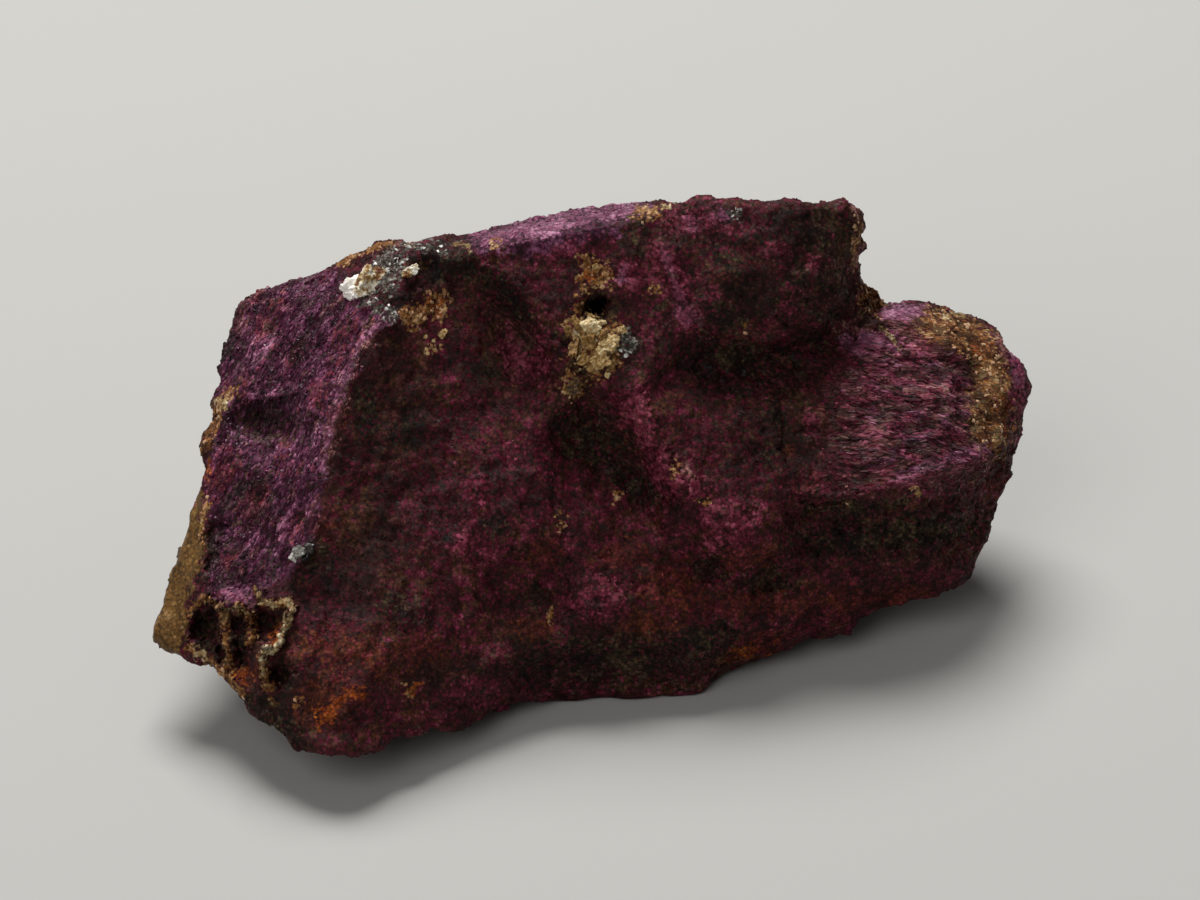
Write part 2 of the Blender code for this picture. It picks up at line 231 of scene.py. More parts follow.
# Lines of the show side, through pixels: half width in pixels, height in mm, and the pixels.
crests = {
    "left ridge, top": (6, 0.3, [(392, 322), (372, 330), (356, 352), (345, 386), (330, 432), (318, 480)]),
    "left ledge": (4, 0.35, [(246, 398), (268, 396), (297, 391)]),
    "cell wall, left": (4, 0.4, [(204, 596), (194, 608), (190, 622), (188, 636)]),
    "cell wall, top left": (4, 0.6, [(204, 596), (216, 602), (222, 610)]),
    "cell wall, middle": (6, 0.5, [(222, 610), (224, 626), (226, 640), (229, 650), (226, 662)]),
    "cell wall, top": (5, 0.4, [(222, 609), (238, 608), (251, 613)]),
    "cell wall, inner": (5, 0.4, [(251, 613), (252, 628), (247, 643)]),
    "cell wall, upper": (5, 0.4, [(257, 590), (263, 600), (276, 602), (287, 600), (292, 609)]),
    "cell wall, right": (4, 1.0, [(292, 609), (288, 620), (283, 632), (281, 641), (274, 650), (264, 648)]),
    "cell wall, low": (3, 0.6, [(264, 648), (262, 662), (265, 676)]),
    "cell wall, foot": (6, 0.3, [(226, 662), (227, 670), (233, 682), (242, 693)]),
    "pink streak": (4, 0.16, [(665, 258), (673, 277), (682, 300)]),
    "shell brink": (6, 0.2, [(480, 262), (505, 276), (522, 294), (540, 310), (548, 334)]),
    "crease": (8, -0.14, [(558, 508), (562, 560), (560, 600), (555, 640), (505, 664)]),
    "tongue": (13, 0.5, [(632, 396), (646, 430), (664, 466), (676, 488)]),
    "below the lump ledge": (13, -0.5, [(800, 510), (860, 516), (910, 498), (946, 488), (992, 472)]),
    "lump ledge": (5, 0.25, [(806, 496), (860, 500), (905, 482), (942, 471), (990, 456)]),
    "wedge": (3, 0.3, [(878, 325), (888, 336), (903, 353)]),
    "notch lip": (3, 0.25, [(862, 288), (868, 310), (880, 326)]),
}

# Edges that lean back to the light: width in pixels, depth at the rim in mm, and the rim's pixels.
bevels = {
    "top edge": (20, 1.6, [(448, 240), (480, 231), (520, 221), (560, 213), (600, 207), (644, 200)]),
    "lump, top": (20, 1.6, [(886, 301), (920, 303), (960, 309), (990, 324)]),
    "block, top": (6, 0.3, [(690, 195), (740, 199), (770, 200)]),
}

# Where the skin swells to the photographed outline: a spot of pixels, and mm along the skin's normal.
rimGrowth = {
    "corner of the block": (858, 209, 22, 20, 0, 0.6),
    "foot": (330, 750, 60, 16, 0, 0.45),
    "foot, right": (448, 734, 40, 12, 10, 0.4),
    "left shoulder": (240, 302, 12, 12, 0, 0.35),
    "slab": (158, 610, 12, 50, -10, 0.25),
    "far edge": (1022, 392, 12, 44, 0, 0.12),
}

# Where the fracture is roughest, by spots of pixels.
ruggedSpots = {
    "under the block": (752, 348, 92, 34, 0),
    "right of the tongue": (782, 440, 50, 44, 0),
    "front hollow": (602, 448, 50, 24, -32),
    "behind the quartz": (452, 272, 50, 20, 10),
    "under the lump ledge": (890, 532, 100, 26, 5),
    "left ledge": (268, 416, 34, 24, 0),
}

stoneSkin = {
    "cell": 0.17,  # mm, side of the cells that the solid is drawn with
    "smoothing": 5,
    "triangles": 194000,
    "leftGrain": 62,  # degrees, the way the cleavage runs on the left facet
    "lumpGrain": 3,
    "backGrain": 168,
    "tableFade": (0.05, 0.9),  # mm above the table, between which the relief sets in
    "turnsAway": (-0.12, 0.22),  # how squarely a face is seen, from the hidden side to the show side
}

# Layers of the fracture, each with its height and size in mm and the start of its noise. Swells
# and facets also say how much lower they are in front, streaks how long and how wide they are.
fracture = {
    "swells": [(0.26, 0.1, 4.6, (0, 0, 0)), (0.15, 0.06, 1.9, (3, 7, 1))],
    "grains": [(0.08, 0.85, (5, 2, 9)), (0.07, 0.42, (8, 1, 4))],
    "facets": [(0.34, 0.16, 2.8, (1, 4, 2)), (0.09, 0.0, 1.0, (6, 3, 5))],
    "rugged": (0.3, 1.4, (2, 8, 4)),
    "leftStreaks": [(0.24, 8.0, 2.4, (2, 2, 2)), (0.16, 1.8, 0.9, (4, 1, 3))],
    "lumpStreaks": [(0.26, 6.0, 1.5, (7, 5, 1)), (0.1, 2.4, 0.45, (1, 8, 6))],
    "backStreaks": [(0.3, 6.0, 2.0, (9, 9, 2))],
    "wander": 1.3,  # mm, the bends in the rims of the regions
    "leftRim": (12, 12, 12),  # pixels: how far a rim bends sideways and up, and how soft it is
    "lumpRim": (30, 20, 22),
    "slabRim": 4,
    "tear": (8, 0.3),  # pixels and mm, the ragged edge of pits and crests
}


def meshOf(carrier):
    # the object's mesh with its modifiers applied, and the object gone
    graph = bpy.context.evaluated_depsgraph_get()
    mesh = bpy.data.meshes.new_from_object(carrier.evaluated_get(graph))
    bpy.data.objects.remove(carrier)
    return mesh


def carrierOf(mesh, name):
    carrier = bpy.data.objects.new(name, mesh)
    bpy.context.scene.collection.objects.link(carrier)
    return carrier


def finePoints(mesh):
    points = np.empty(len(mesh.vertices) * 3, np.float64)
    mesh.vertices.foreach_get("co", points)
    normals = np.empty(len(mesh.vertices) * 3, np.float32)
    mesh.vertex_normals.foreach_get("vector", normals)
    return points.reshape(-1, 3), normals.reshape(-1, 3).astype(float)


def storeShare(mesh, name, values):
    layer = mesh.attributes.get(name) or mesh.attributes.new(name, "FLOAT", "POINT")
    layer.data.foreach_set("value", values.astype(np.float32))


def facingShare(normals):
    # 1 where the stone faces the photograph, 0 where it is turned away
    return smoothStep(normals @ np.array(outWay), *stoneSkin["turnsAway"])


def streaks(places, turn, layers):
    return sum(height * ridges(places, turn, *sizes) for height, *sizes in layers)


def drawRelief(mesh):
    # moves the points of the fine mesh by the stone's fracture, in mm, and notes the hollows, which the
    # material darkens as painted shade
    points, normals = finePoints(mesh)
    places = ownPlaces(points)
    x, y = seenPixels(points)
    facing = facingShare(normals)
    bends = places / fracture["wander"]
    wander = softNoise(bends, (2, 6, 6)), softNoise(bends, (6, 2, 8))
    sideways, upwards, softness = fracture["leftRim"]
    left = insideShare(x + sideways * wander[0], y + upwards * wander[1], leftFacet, softness) * facing
    sideways, upwards, softness = fracture["lumpRim"]
    lump = insideShare(x + sideways * wander[0], y + upwards * wander[1], rightLump, softness) * facing
    slab = insideShare(x, y, paleSlab, fracture["slabRim"]) * facing
    front = facing * (1 - left) * (1 - lump)

    swell = sum((height - lower * front) * softNoise(places / size, start)
                for height, lower, size, start in fracture["swells"])
    grain = sum(height * softNoise(places / size, start) for height, size, start in fracture["grains"])
    facets = sum((height - lower * facing) * brokenFacets(places / size, start)
                 for height, lower, size, start in fracture["facets"])
    rugged = np.zeros(len(x))
    for spot in ruggedSpots.values():
        rugged = np.maximum(rugged, smoothStep(spotShare(x, y, spot), 0.1, 0.7))
    height, size, start = fracture["rugged"]
    facets += height * rugged * facing * brokenFacets(places / size, start)
    leftStreaks = streaks(places, stoneSkin["leftGrain"], fracture["leftStreaks"])
    lumpStreaks = streaks(places, stoneSkin["lumpGrain"], fracture["lumpStreaks"])
    backStreaks = streaks(places, stoneSkin["backGrain"], fracture["backStreaks"])
    fine = grain + facets * (1 - 0.5 * left) * (1 - 0.7 * lump)
    fine += leftStreaks * left + lumpStreaks * lump + backStreaks * (1 - facing)
    relief = (swell + fine) * (1 - 0.85 * slab)
    onTable = smoothStep(points[:, 2] / mm, *stoneSkin["tableFade"])
    for *spot, height in rimGrowth.values():
        relief += height * smoothStep(spotShare(x, y, spot), 0.1, 0.9)
    moved = normals * (relief * onTable)[:, None]

    outward = np.zeros(len(x))
    broken = 1 + 0.7 * softNoise(places / 0.8, (4, 4, 1))
    reach, size = fracture["tear"]
    torn = reach * softNoise(places / size, (4, 7, 1))
    for *spot, depth, steep in pits.values():
        inside = spotShare(x + 8 * wander[0] + 0.8 * torn, y + 8 * wander[1] - 0.8 * torn, spot)
        outward -= depth * broken * smoothStep(inside, 0.5 * steep, 1 - 0.15 * steep)
    for halfWidth, height, line in crests.values():
        away = lineDistance(x + 3 * wander[0] + torn, y + 3 * wander[1] - torn, line)
        outward += height * (0.4 + 0.6 * broken) * (1 - smoothStep(away, halfWidth * 0.3, halfWidth * 1.5))
    outward *= facing
    for width, depth, line in bevels.values():
        outward -= depth * np.clip(1 - lineDistance(x, y, line) / width, 0, 1)
    moved += np.array(outWay) * (outward * onTable)[:, None]

    points += moved * mm
    points[:, 2] = np.maximum(points[:, 2], 0)
    mesh.vertices.foreach_set("co", points.ravel())
    mesh.update()
    # the hollows, where the material paints shade
    hollow = smoothStep(-(fine + 0.4 * np.minimum(outward, 0) * facing), 0.08, 0.6) * (1 - slab)
    storeShare(mesh, "hollow", hollow)


def buildSkin():
    mesh = frame["nodes"]["stone"].data.copy()
    bm = bmesh.new()
    bm.from_mesh(mesh)
    bmesh.ops.remove_doubles(bm, verts=bm.verts, dist=0.01 * mm)
    bm.to_mesh(mesh)
    bm.free()
    carrier = carrierOf(mesh, "skinCarrier")
    cells = carrier.modifiers.new("Cells", "REMESH")
    cells.mode = "VOXEL"
    cells.voxel_size = stoneSkin["cell"] * mm
    soften = carrier.modifiers.new("Soften", "SMOOTH")
    soften.factor = 0.5
    soften.iterations = stoneSkin["smoothing"]
    mesh = meshOf(carrier)
    say(f"fine mesh, {len(mesh.vertices)} points")
    drawRelief(mesh)
    say("fracture drawn")
    carrier = carrierOf(mesh, "skinCarrier")
    thin = carrier.modifiers.new("Thin", "DECIMATE")
    thin.ratio = min(1, stoneSkin["triangles"] / (2 * len(mesh.polygons)))
    thin.use_collapse_triangulate = True
    mesh = meshOf(carrier)
    mesh.shade_smooth()
    say(f"stone skin, {len(mesh.polygons)} triangles")
    return mesh


# What colours the stone: each kind of cover, by the places where it shows. A spot is its middle
# and half sizes in pixels and its turn, a vein a half width and its pixels, an outline a strength,
# a softness in pixels and a region. Seams run through a region: its outline, their turn, mm along
# and across them, and a level that is below 0 for fewer. On the hidden sides a cover follows noise:
# its level, the size of its patches in mm, and the start of that noise.
covers = {
    "earth": {
        "outlines": [(0.8, 12, cellField)],
        "spots": {
            "front, left": (392, 400, 44, 80, 0), "front, left, low": (372, 545, 34, 66, 0),
            "ridge": (318, 450, 26, 60, -15), "left side": (264, 424, 36, 30, 0),
            "left side, low": (290, 560, 22, 40, 0), "left of the vug": (508, 318, 34, 30, 0),
            "left of the vug, low": (500, 372, 34, 26, 0), "crystals' foot": (576, 386, 26, 20, 0),
            "block": (746, 290, 40, 40, 0), "block, right": (830, 290, 30, 50, 0),
            "under the block": (742, 358, 64, 20, -3), "right of the tongue": (792, 430, 46, 44, 0),
            "front hollow": (604, 446, 60, 30, -35), "front, low": (520, 640, 30, 30, 0),
            "under the lump ledge": (900, 535, 110, 34, 6), "corner of the block": (846, 245, 14, 34, 0),
            "above the underside": (640, 640, 90, 22, 0), "foot": (430, 672, 60, 18, 8),
            "foot, left": (286, 700, 60, 50, -35), "behind the quartz": (456, 280, 54, 26, 0),
            "vug": (598, 308, 30, 24, 0), "lump": (925, 362, 34, 12, 0),
            "lump, low left": (862, 452, 28, 20, 0), "lump, middle": (905, 424, 30, 8, 0),
            "left facet": (262, 520, 18, 40, -20), "left facet, top": (318, 300, 20, 12, 20),
        },
        "seams": [(goldCrust, 20, 2.2, 1.5, -0.12), (brokenSide, 10, 1.3, 0.8, -0.26)],
        "hidden": (-0.08, 5.0, (4, 4, 9)),
    },
    # the stone's own violet on its cleavage faces, and painted sheen on the lit top edge, the left ridge, the
    # lump's corner, the far edge and the sparkling foot
    "violet": {
        "outlines": [(1.0, 10, leftFacet), (0.55, 32, rightLump)],
        "veins": {
            "top edge": (14, [(480, 240), (500, 234), (560, 222), (640, 206)]),
            "left ridge": (4, [(392, 316), (366, 330), (354, 352), (345, 385)]),
        },
        "spots": {
            "corner of the lump": (905, 312, 20, 10, 0), "far edge": (1018, 375, 8, 24, 15),
            "sparkling foot": (234, 592, 24, 14, 0), "behind the top edge": (566, 240, 60, 12, 12),
        },
        "hidden": (-0.1, 6.0, (3, 3, 7)),
    },
    "blush": {
        "seams": [
            (leftFacet, 62, 1.0, 0.9, -0.4), (rightLump, 3, 2.4, 0.7, 0.04),
            (goldCrust, 20, 1.2, 1.0, -0.06),
        ],
        "veins": {
            "left edge": (4, [(262, 288), (244, 300), (238, 330)]),
            "top left": (4, [(392, 246), (420, 240)]),
            "ridge": (7, [(376, 326), (356, 352), (340, 400), (326, 460)]),
            "corner of the block": (4, [(856, 208), (862, 235), (856, 268)]),
        },
        "spots": {
            "lump, foot": (930, 470, 60, 12, 6), "far edge": (1006, 340, 12, 30, -20),
            "lump, top": (902, 338, 58, 19, -8), "lump, right": (975, 410, 16, 26, 0),
            "salmon": (659, 243, 9, 8, 0), "right of the tongue": (822, 418, 6, 12, 0),
            "right of the tongue, low": (806, 488, 16, 6, 10), "tongue, edge": (686, 470, 6, 18, 20),
        },
        "hidden": (-0.44, 3.0, (7, 2, 5)),
    },
    # painted sheen: pale lilac where the top edge, the ridges, the ledges, the streak and the lump's corner
    # catch the window, and light strands of painted glints on the left facet and the lump
    "lilac": {
        "seams": [(leftFacet, 62, 2.0, 0.8, -0.3), (rightLump, 3, 1.8, 0.4, -0.36)],
        "veins": {
            "top edge": (11, [(480, 234), (520, 230), (560, 222), (600, 210), (630, 204)]),
            "left ledge": (3, [(246, 398), (268, 396), (297, 391)]),
            "ridge": (4, [(388, 322), (368, 332), (354, 352), (345, 380)]),
            "ridge, low": (3, [(345, 380), (330, 432), (322, 470)]),
            "ledge": (8, [(900, 476), (942, 462), (990, 446)]),
            "streak": (5, [(664, 252), (669, 266), (676, 282), (688, 314)]),
            "streak, left": (4, [(672, 284), (680, 300), (679, 318)]),
        },
        "spots": {
            "corner of the lump": (905, 312, 26, 12, 0), "lump, left": (874, 342, 32, 13, 0),
            "far edge": (1018, 374, 8, 30, 10), "left side": (262, 345, 12, 22, -20),
            "left side, low": (236, 592, 16, 8, 0), "blotch": (687, 314, 12, 12, 0),
            "block, top": (722, 216, 14, 6, 0), "block, top left": (690, 222, 10, 8, 0),
            "shell": (622, 276, 9, 7, 0),
        },
        "hidden": (-0.5, 3.0, (2, 4, 6)),
    },
    "pink": {
        "veins": {
            "streak": (11, [(655, 242), (665, 258), (673, 277), (684, 312)]),
            "tongue": (13, [(634, 400), (648, 434), (663, 466), (671, 482)]),
            "lump streak": (4, [(886, 398), (912, 397), (940, 393)]),
            "lump foot": (6, [(900, 486), (935, 474), (986, 458)]),
        },
        "spots": {
            "blotch": (687, 313, 17, 14, 0), "block, top": (700, 226, 36, 16, 0),
            "lobe, edge": (716, 535, 7, 26, -14), "near the top": (663, 247, 12, 8, -30),
            "beside the streak": (690, 275, 5, 9, 0), "right of the blotch": (711, 294, 11, 8, 20),
            "under the dark patch": (778, 249, 13, 8, 0),
            "under the dark patch, right": (815, 266, 12, 10, 0),
            "low on the block": (782, 308, 15, 6, 10), "block, left": (640, 280, 26, 20, 0),
            "block, low left": (650, 330, 16, 12, 0), "pale top": (566, 252, 28, 9, 15),
            "shell": (525, 350, 26, 26, 0), "front, middle": (602, 604, 24, 18, 10),
            "front, middle, top": (598, 580, 12, 10, 0), "front, upper": (512, 455, 10, 12, 0),
            "front, second": (480, 486, 12, 12, 0), "front, left": (462, 542, 12, 14, 0),
            "front, left, second": (486, 552, 8, 8, 0), "foot": (472, 690, 24, 12, 12),
            "above the foot": (500, 655, 17, 9, 10), "lobe": (742, 528, 24, 15, 60),
            "lobe, left": (718, 515, 14, 16, 0), "right of the tongue": (812, 424, 8, 14, 0),
            "right of the tongue, low": (806, 486, 18, 8, 10), "tongue, foot": (700, 486, 12, 9, 0),
            "shell, left": (634, 410, 8, 22, -20), "low on the block, left": (745, 305, 10, 7, 0),
            "far edge": (1017, 385, 10, 30, 0), "far edge, low": (1016, 446, 5, 12, 10),
            "left edge": (228, 392, 10, 12, 0), "left side, low": (222, 470, 14, 30, -10),
        },
        "seams": [(leftFacet, 62, 3.0, 1.6, -0.3), (rightLump, 3, 3.0, 0.9, -0.06)],
        "hidden": (-0.24, 3.5, (8, 1, 1)),
    },
    "rust": {
        "seams": [(leftFacet, 62, 3.0, 1.6, -0.4), (goldCrust, 20, 1.6, 1.2, -0.16)],
        "spots": {
            "below the cells": (346, 697, 14, 10, 0), "beside it": (322, 716, 9, 17, 0),
            "in a cell": (275, 631, 7, 12, 0), "in the low cells": (244, 672, 14, 16, 0),
            "left front": (350, 655, 50, 24, -15), "left front, foot": (330, 700, 34, 30, 0),
            "ridge": (335, 412, 12, 14, 0), "ridge, low": (322, 520, 12, 22, 0),
            "left side": (256, 500, 16, 34, -20), "speck": (557, 350, 6, 5, 0),
            "rim": (752, 650, 40, 13, 16), "lower band": (850, 600, 100, 14, 6),
            "under the lobe": (746, 558, 40, 12, 10), "lobe, foot": (760, 600, 60, 14, 4),
            "under the crust": (1000, 480, 12, 22, -15), "middle": (676, 590, 36, 30, 0),
            "middle, second": (622, 556, 30, 14, 10), "middle, third": (640, 628, 30, 16, 0),
            "middle, left": (548, 556, 18, 12, 0), "middle, left, low": (528, 628, 22, 12, 0),
            "front foot": (420, 650, 26, 14, 0), "right of the tongue": (824, 418, 7, 12, 0),
            "right of the tongue, second": (806, 486, 14, 7, 10),
            "right of the tongue, third": (790, 440, 9, 12, 0),
        },
        "hidden": (-0.24, 4.5, (1, 5, 2)),
    },
    "ochre": {
        "outlines": [(0.92, 12, goldCrust)],
        "veins": {
            "left edge": (7, [(232, 392), (220, 405), (211, 430), (206, 446)]),
            "slab edge": (3, [(207, 503), (200, 530), (203, 555)]),
            "behind the top": (5, [(338, 262), (360, 250), (392, 243)]),
            "cell wall, top left": (4, [(190, 612), (204, 598), (220, 606), (226, 616)]),
            "cell wall, middle": (5, [(224, 612), (226, 640), (228, 660), (232, 682)]),
            "cell wall, inner": (5, [(240, 609), (252, 616), (250, 642)]),
            "cell wall, upper": (5, [(257, 592), (263, 602), (288, 602)]),
            "cells, foot": (5, [(190, 648), (206, 656), (226, 676), (240, 694)]),
            "cells, right foot": (5, [(262, 655), (268, 690)]),
        },
        "spots": {
            "above the vug": (592, 274, 17, 16, 0), "around the vug": (580, 306, 6, 12, 0),
            "crystals": (594, 345, 28, 32, 0), "crystals' foot": (572, 382, 12, 14, 0),
            "right of the vug": (651, 293, 6, 5, 0), "top left": (414, 316, 16, 13, 20),
            "top left, second": (434, 306, 14, 14, 0), "low speck": (434, 346, 5, 5, 0),
            "notch": (872, 294, 13, 20, 0), "top middle": (650, 212, 18, 8, 8),
            "top speck": (500, 241, 6, 4, 0), "beside the small quartz": (426, 264, 6, 4, 0),
            "front crease": (560, 526, 3, 16, 0), "block": (744, 323, 7, 5, 0),
            "lump, low": (918, 492, 5, 4, 0), "corner of the block": (858, 236, 4, 26, -6),
            "speck 1": (674, 472, 4, 8, 0), "speck 2": (614, 498, 5, 4, 0),
            "speck 3": (571, 513, 4, 3, 0), "speck 4": (707, 500, 5, 4, 0),
            "speck 5": (550, 612, 4, 10, 20), "speck 6": (410, 690, 5, 4, 0),
            "speck 7": (850, 505, 5, 4, 0), "speck 9": (741, 361, 3, 3, 0),
            "cells, speck": (284, 676, 5, 4, 0), "cells, speck 2": (300, 702, 5, 4, 0),
            "cells, speck 3": (274, 702, 6, 3, 0),
        },
        "hidden": (-0.42, 5.5, (6, 2, 2)),
    },
    "ember": {
        "veins": {
            "below the cells": (7, [(322, 716), (332, 706), (346, 696), (360, 690)]),
        },
        "seams": [(goldCrust, 60, 1.8, 1.0, -0.24)],
        "spots": {
            "beside it": (322, 718, 7, 14, 0), "low front": (415, 688, 6, 3, 10),
            "in a cell": (274, 632, 6, 11, 0), "in the low cells": (244, 674, 8, 9, 0),
            "slab foot": (170, 640, 8, 10, 0), "quartz stain": (434, 306, 8, 9, 0),
            "crust": (1003, 414, 7, 24, 0), "above the vug": (590, 276, 7, 8, 0),
            "rim": (748, 652, 26, 6, 16), "left edge": (206, 470, 4, 16, 0),
        },
        "hidden": (-0.72, 3.5, (8, 5, 2)),
    },
    # a black-green coating, and painted shade below the shell's brink, under the ledges, the block, the lobe
    # and the lump, on the underside, in the pits and cells and beside the silver grain
    "coal": {
        "veins": {
            "brink": (9, [(430, 258), (470, 266), (505, 288), (524, 318), (530, 345)]),
            "under the ledge": (4, [(806, 508), (860, 514), (905, 500)]),
        },
        "seams": [
            (leftFacet, 62, 1.6, 0.8, -0.3), (rightLump, 3, 2.0, 1.1, -0.3), (goldCrust, 20, 1.6, 1.1, -0.22),
            (brokenSide, -10, 1.7, 1.0, -0.24),
        ],
        "spots": {
            "left edge": (226, 350, 6, 22, -20), "under the left ledge": (264, 424, 32, 20, 0),
            "beside the slab": (211, 548, 9, 26, -8), "under the slab": (200, 575, 6, 12, 0),
            "silver grain's shade": (320, 564, 16, 18, 0), "under the quartz": (388, 300, 28, 9, 0),
            "behind the quartz": (446, 266, 36, 14, 0), "vug": (599, 308, 15, 14, 0),
            "cell, left": (205, 624, 11, 16, 0), "cell, left, low": (206, 647, 9, 6, 0),
            "cell, right": (268, 622, 9, 9, 0), "cell, middle": (238, 628, 5, 16, 0),
            "cell, low": (242, 655, 6, 14, 0), "cell, between": (222, 655, 6, 8, 0),
            "cell, foot": (284, 674, 10, 14, 0), "block top": (812, 226, 46, 22, 0),
            "notch": (868, 312, 5, 12, 0), "under the block": (728, 358, 46, 15, 0),
            "under the block, right": (814, 338, 12, 7, 15), "on the block": (734, 312, 34, 12, 0),
            "on the block, top": (640, 226, 16, 9, -20), "front hollow": (590, 438, 42, 22, -30),
            "front hollow, low": (636, 488, 26, 12, -38), "below the crystals": (580, 366, 16, 6, -48),
            "left of the crystals": (560, 338, 10, 8, 0), "under the lobe": (708, 568, 18, 13, 0),
            "under the lobe, right": (768, 583, 30, 12, 0), "under the lump ledge": (895, 534, 96, 16, 6),
            "underside": (618, 662, 118, 25, 0), "underside, right": (706, 640, 30, 16, 14),
            "underside, left": (276, 722, 34, 18, -35), "front, near the ridge": (366, 410, 12, 22, 0),
            "under the ledge, left": (846, 508, 22, 9, 0),
            "under the ledge, middle": (902, 530, 34, 18, 0), "left of the notch": (800, 268, 10, 8, 0),
            "front, beside the pink": (498, 524, 14, 12, 0), "front, between": (536, 596, 12, 14, 0),
            "front, second": (486, 370, 16, 12, 0), "front, third": (408, 430, 16, 16, 0),
            "front, low": (400, 606, 20, 12, 0), "right of the crystals": (630, 342, 8, 18, 0),
        },
        "hidden": (-0.08, 5.0, (2, 7, 9)),
    },
    "cream": {
        "veins": {
            "cell wall, top": (2, [(222, 609), (238, 608), (251, 613)]),
            "cell wall, upper": (3, [(257, 590), (263, 600), (276, 602), (287, 600), (292, 609)]),
            "cell wall, right": (4, [(292, 609), (288, 620), (283, 632), (281, 641), (274, 650), (264, 648)]),
            "cell wall, low": (2, [(264, 648), (262, 662), (265, 676)]),
            "wedge": (2, [(878, 325), (888, 336), (899, 348)]),
        },
        "spots": {
            "crystals, upper": (590, 328, 14, 10, 0), "crystals, right": (608, 344, 12, 10, 10),
            "crystals, low": (598, 362, 12, 10, 0), "crystals, left": (578, 345, 7, 13, 0),
            "tan crystal": (442, 334, 4, 6, -20), "left edge": (222, 402, 7, 8, 0),
            "crust": (953, 315, 10, 5, 10), "crust, right": (998, 436, 5, 10, 0),
            "top middle": (670, 203, 7, 3, 0), "top left": (462, 244, 8, 4, -10),
            "top left, second": (410, 246, 7, 3, 0), "cells, foot": (200, 654, 7, 5, 0),
            # the spot "slab" paints a pale highlight on the slab's lit rim
            "slab": (168, 596, 4, 13, -10), "slab, upper": (180, 560, 3, 10, -16),
        },
        "hidden": (-0.8, 4.0, (5, 5, 1)),
    },
    "silver": {
        "spots": {
            "mica": (388, 270, 16, 24, -10), "mica, right": (432, 246, 14, 7, 0),
            "mica, low": (374, 305, 12, 4, 0), "mica, low right": (390, 311, 8, 5, 20),
            "mica, foot": (397, 320, 6, 4, 0), "right of the crystals": (626, 342, 6, 16, 0),
            "top speck": (735, 215, 6, 4, 0), "top edge": (405, 247, 16, 4, 0),
            "top middle": (656, 208, 10, 3, -8),
        },
        "hidden": (-0.9, 3.0, (4, 9, 4)),
    },
    "slab": {
        "outlines": [(1.0, 3, paleSlab)],
        "spots": {},
        "hidden": (-1.0, 6.0, (7, 7, 3)),
    },
}


coverEdges = {
    "wander": [  # pixels, mm, and the starts of the noise for x and for y
        (9, 0.9, (1, 1, 5), (9, 4, 1)),
        (5, 0.35, (5, 8, 1), (3, 4, 8)),
    ],
    "veins": (0.6, 0.4),  # how much of a vein stays straight, and how much wanders
    "seamSoftness": 18,
}


def layGrain(mesh, places, facing):
    # mm along and across the cleavage: drawn out on the left facet and the lump, even elsewhere
    x, y = seenPixels(finePoints(mesh)[0])
    x = x + 26 * softNoise(places / 0.9, (4, 1, 5))
    threads = places / 1.15
    onLeft = insideShare(x, y, leftFacet, 6) * facing > 0.5
    onLump = insideShare(x, y, rightLump, 6) * facing > 0.5
    threads = np.where(onLeft[:, None], stretched(places, stoneSkin["leftGrain"], 2.0, 1.0), threads)
    threads = np.where(onLump[:, None], stretched(places, stoneSkin["lumpGrain"], 3.4, 0.85), threads)
    layer = mesh.attributes.new("grainPlace", "FLOAT_VECTOR", "POINT")
    layer.data.foreach_set("vector", threads.astype(np.float32).ravel())


def paintCovers(mesh):
    # one share a point for each cover, from its places in front and from noise behind
    points, normals = finePoints(mesh)
    places = ownPlaces(points)
    facing = facingShare(normals)
    plainX, plainY = seenPixels(points)
    x, y = plainX, plainY
    for reach, size, startX, startY in coverEdges["wander"]:
        x = x + reach * softNoise(places / size, startX)
        y = y + reach * softNoise(places / size, startY)
    straight, bent = coverEdges["veins"]
    veinX = straight * plainX + bent * x
    veinY = straight * plainY + bent * y
    for name, cover in covers.items():
        share = np.zeros(len(x))
        for strength, softness, outline in cover.get("outlines", []):
            share = np.maximum(share, strength * insideShare(x, y, outline, softness))
        for halfWidth, line in cover.get("veins", {}).values():
            away = lineDistance(veinX, veinY, line) / halfWidth
            share = np.maximum(share, np.clip(1 - away * away / 2, 0, 1))
        for spot in cover["spots"].values():
            share = np.maximum(share, spotShare(x, y, spot))
        for outline, turn, along, across, level in cover.get("seams", []):
            seam = softNoise(stretched(places, turn, along, across), (along, across, level))
            seam = 0.5 + level + seam
            inside = insideShare(x, y, outline, coverEdges["seamSoftness"])
            share = np.maximum(share, np.clip(seam, 0, 1) * inside)
        level, width, start = cover["hidden"]
        behind = np.clip(0.5 + level + 1.1 * softNoise(places / width, start), 0, 1)
        storeShare(mesh, name, share * facing + behind * (1 - facing) * 0.9)
    storeShare(mesh, "tone", np.full(len(x), 0.5))
    layGrain(mesh, places, facing)
    say(f"{len(covers)} covers laid on")


# Materials

def linearColour(code):
    # an sRGB hex colour as linear light
    parts = [int(code[start:start + 2], 16) / 255 for start in (1, 3, 5)]
    light = [part / 12.92 if part <= 0.04045 else ((part + 0.055) / 1.055) ** 2.4 for part in parts]
    return (*light, 1)


def addNode(tree, kind, inputs=None, **settings):
    # a node with its settings, its plain values and its links
    node = tree.nodes.new(kind)
    for name, value in settings.items():
        setattr(node, name, value)
    for socket, value in (inputs or {}).items():
        if isinstance(value, bpy.types.NodeSocket):
            tree.links.new(value, node.inputs[socket])
        else:
            node.inputs[socket].default_value = value
    return node


def maths(tree, operation, *values):
    # what a Math node makes of its values
    return addNode(tree, "ShaderNodeMath", dict(enumerate(values)), operation=operation).outputs[0]


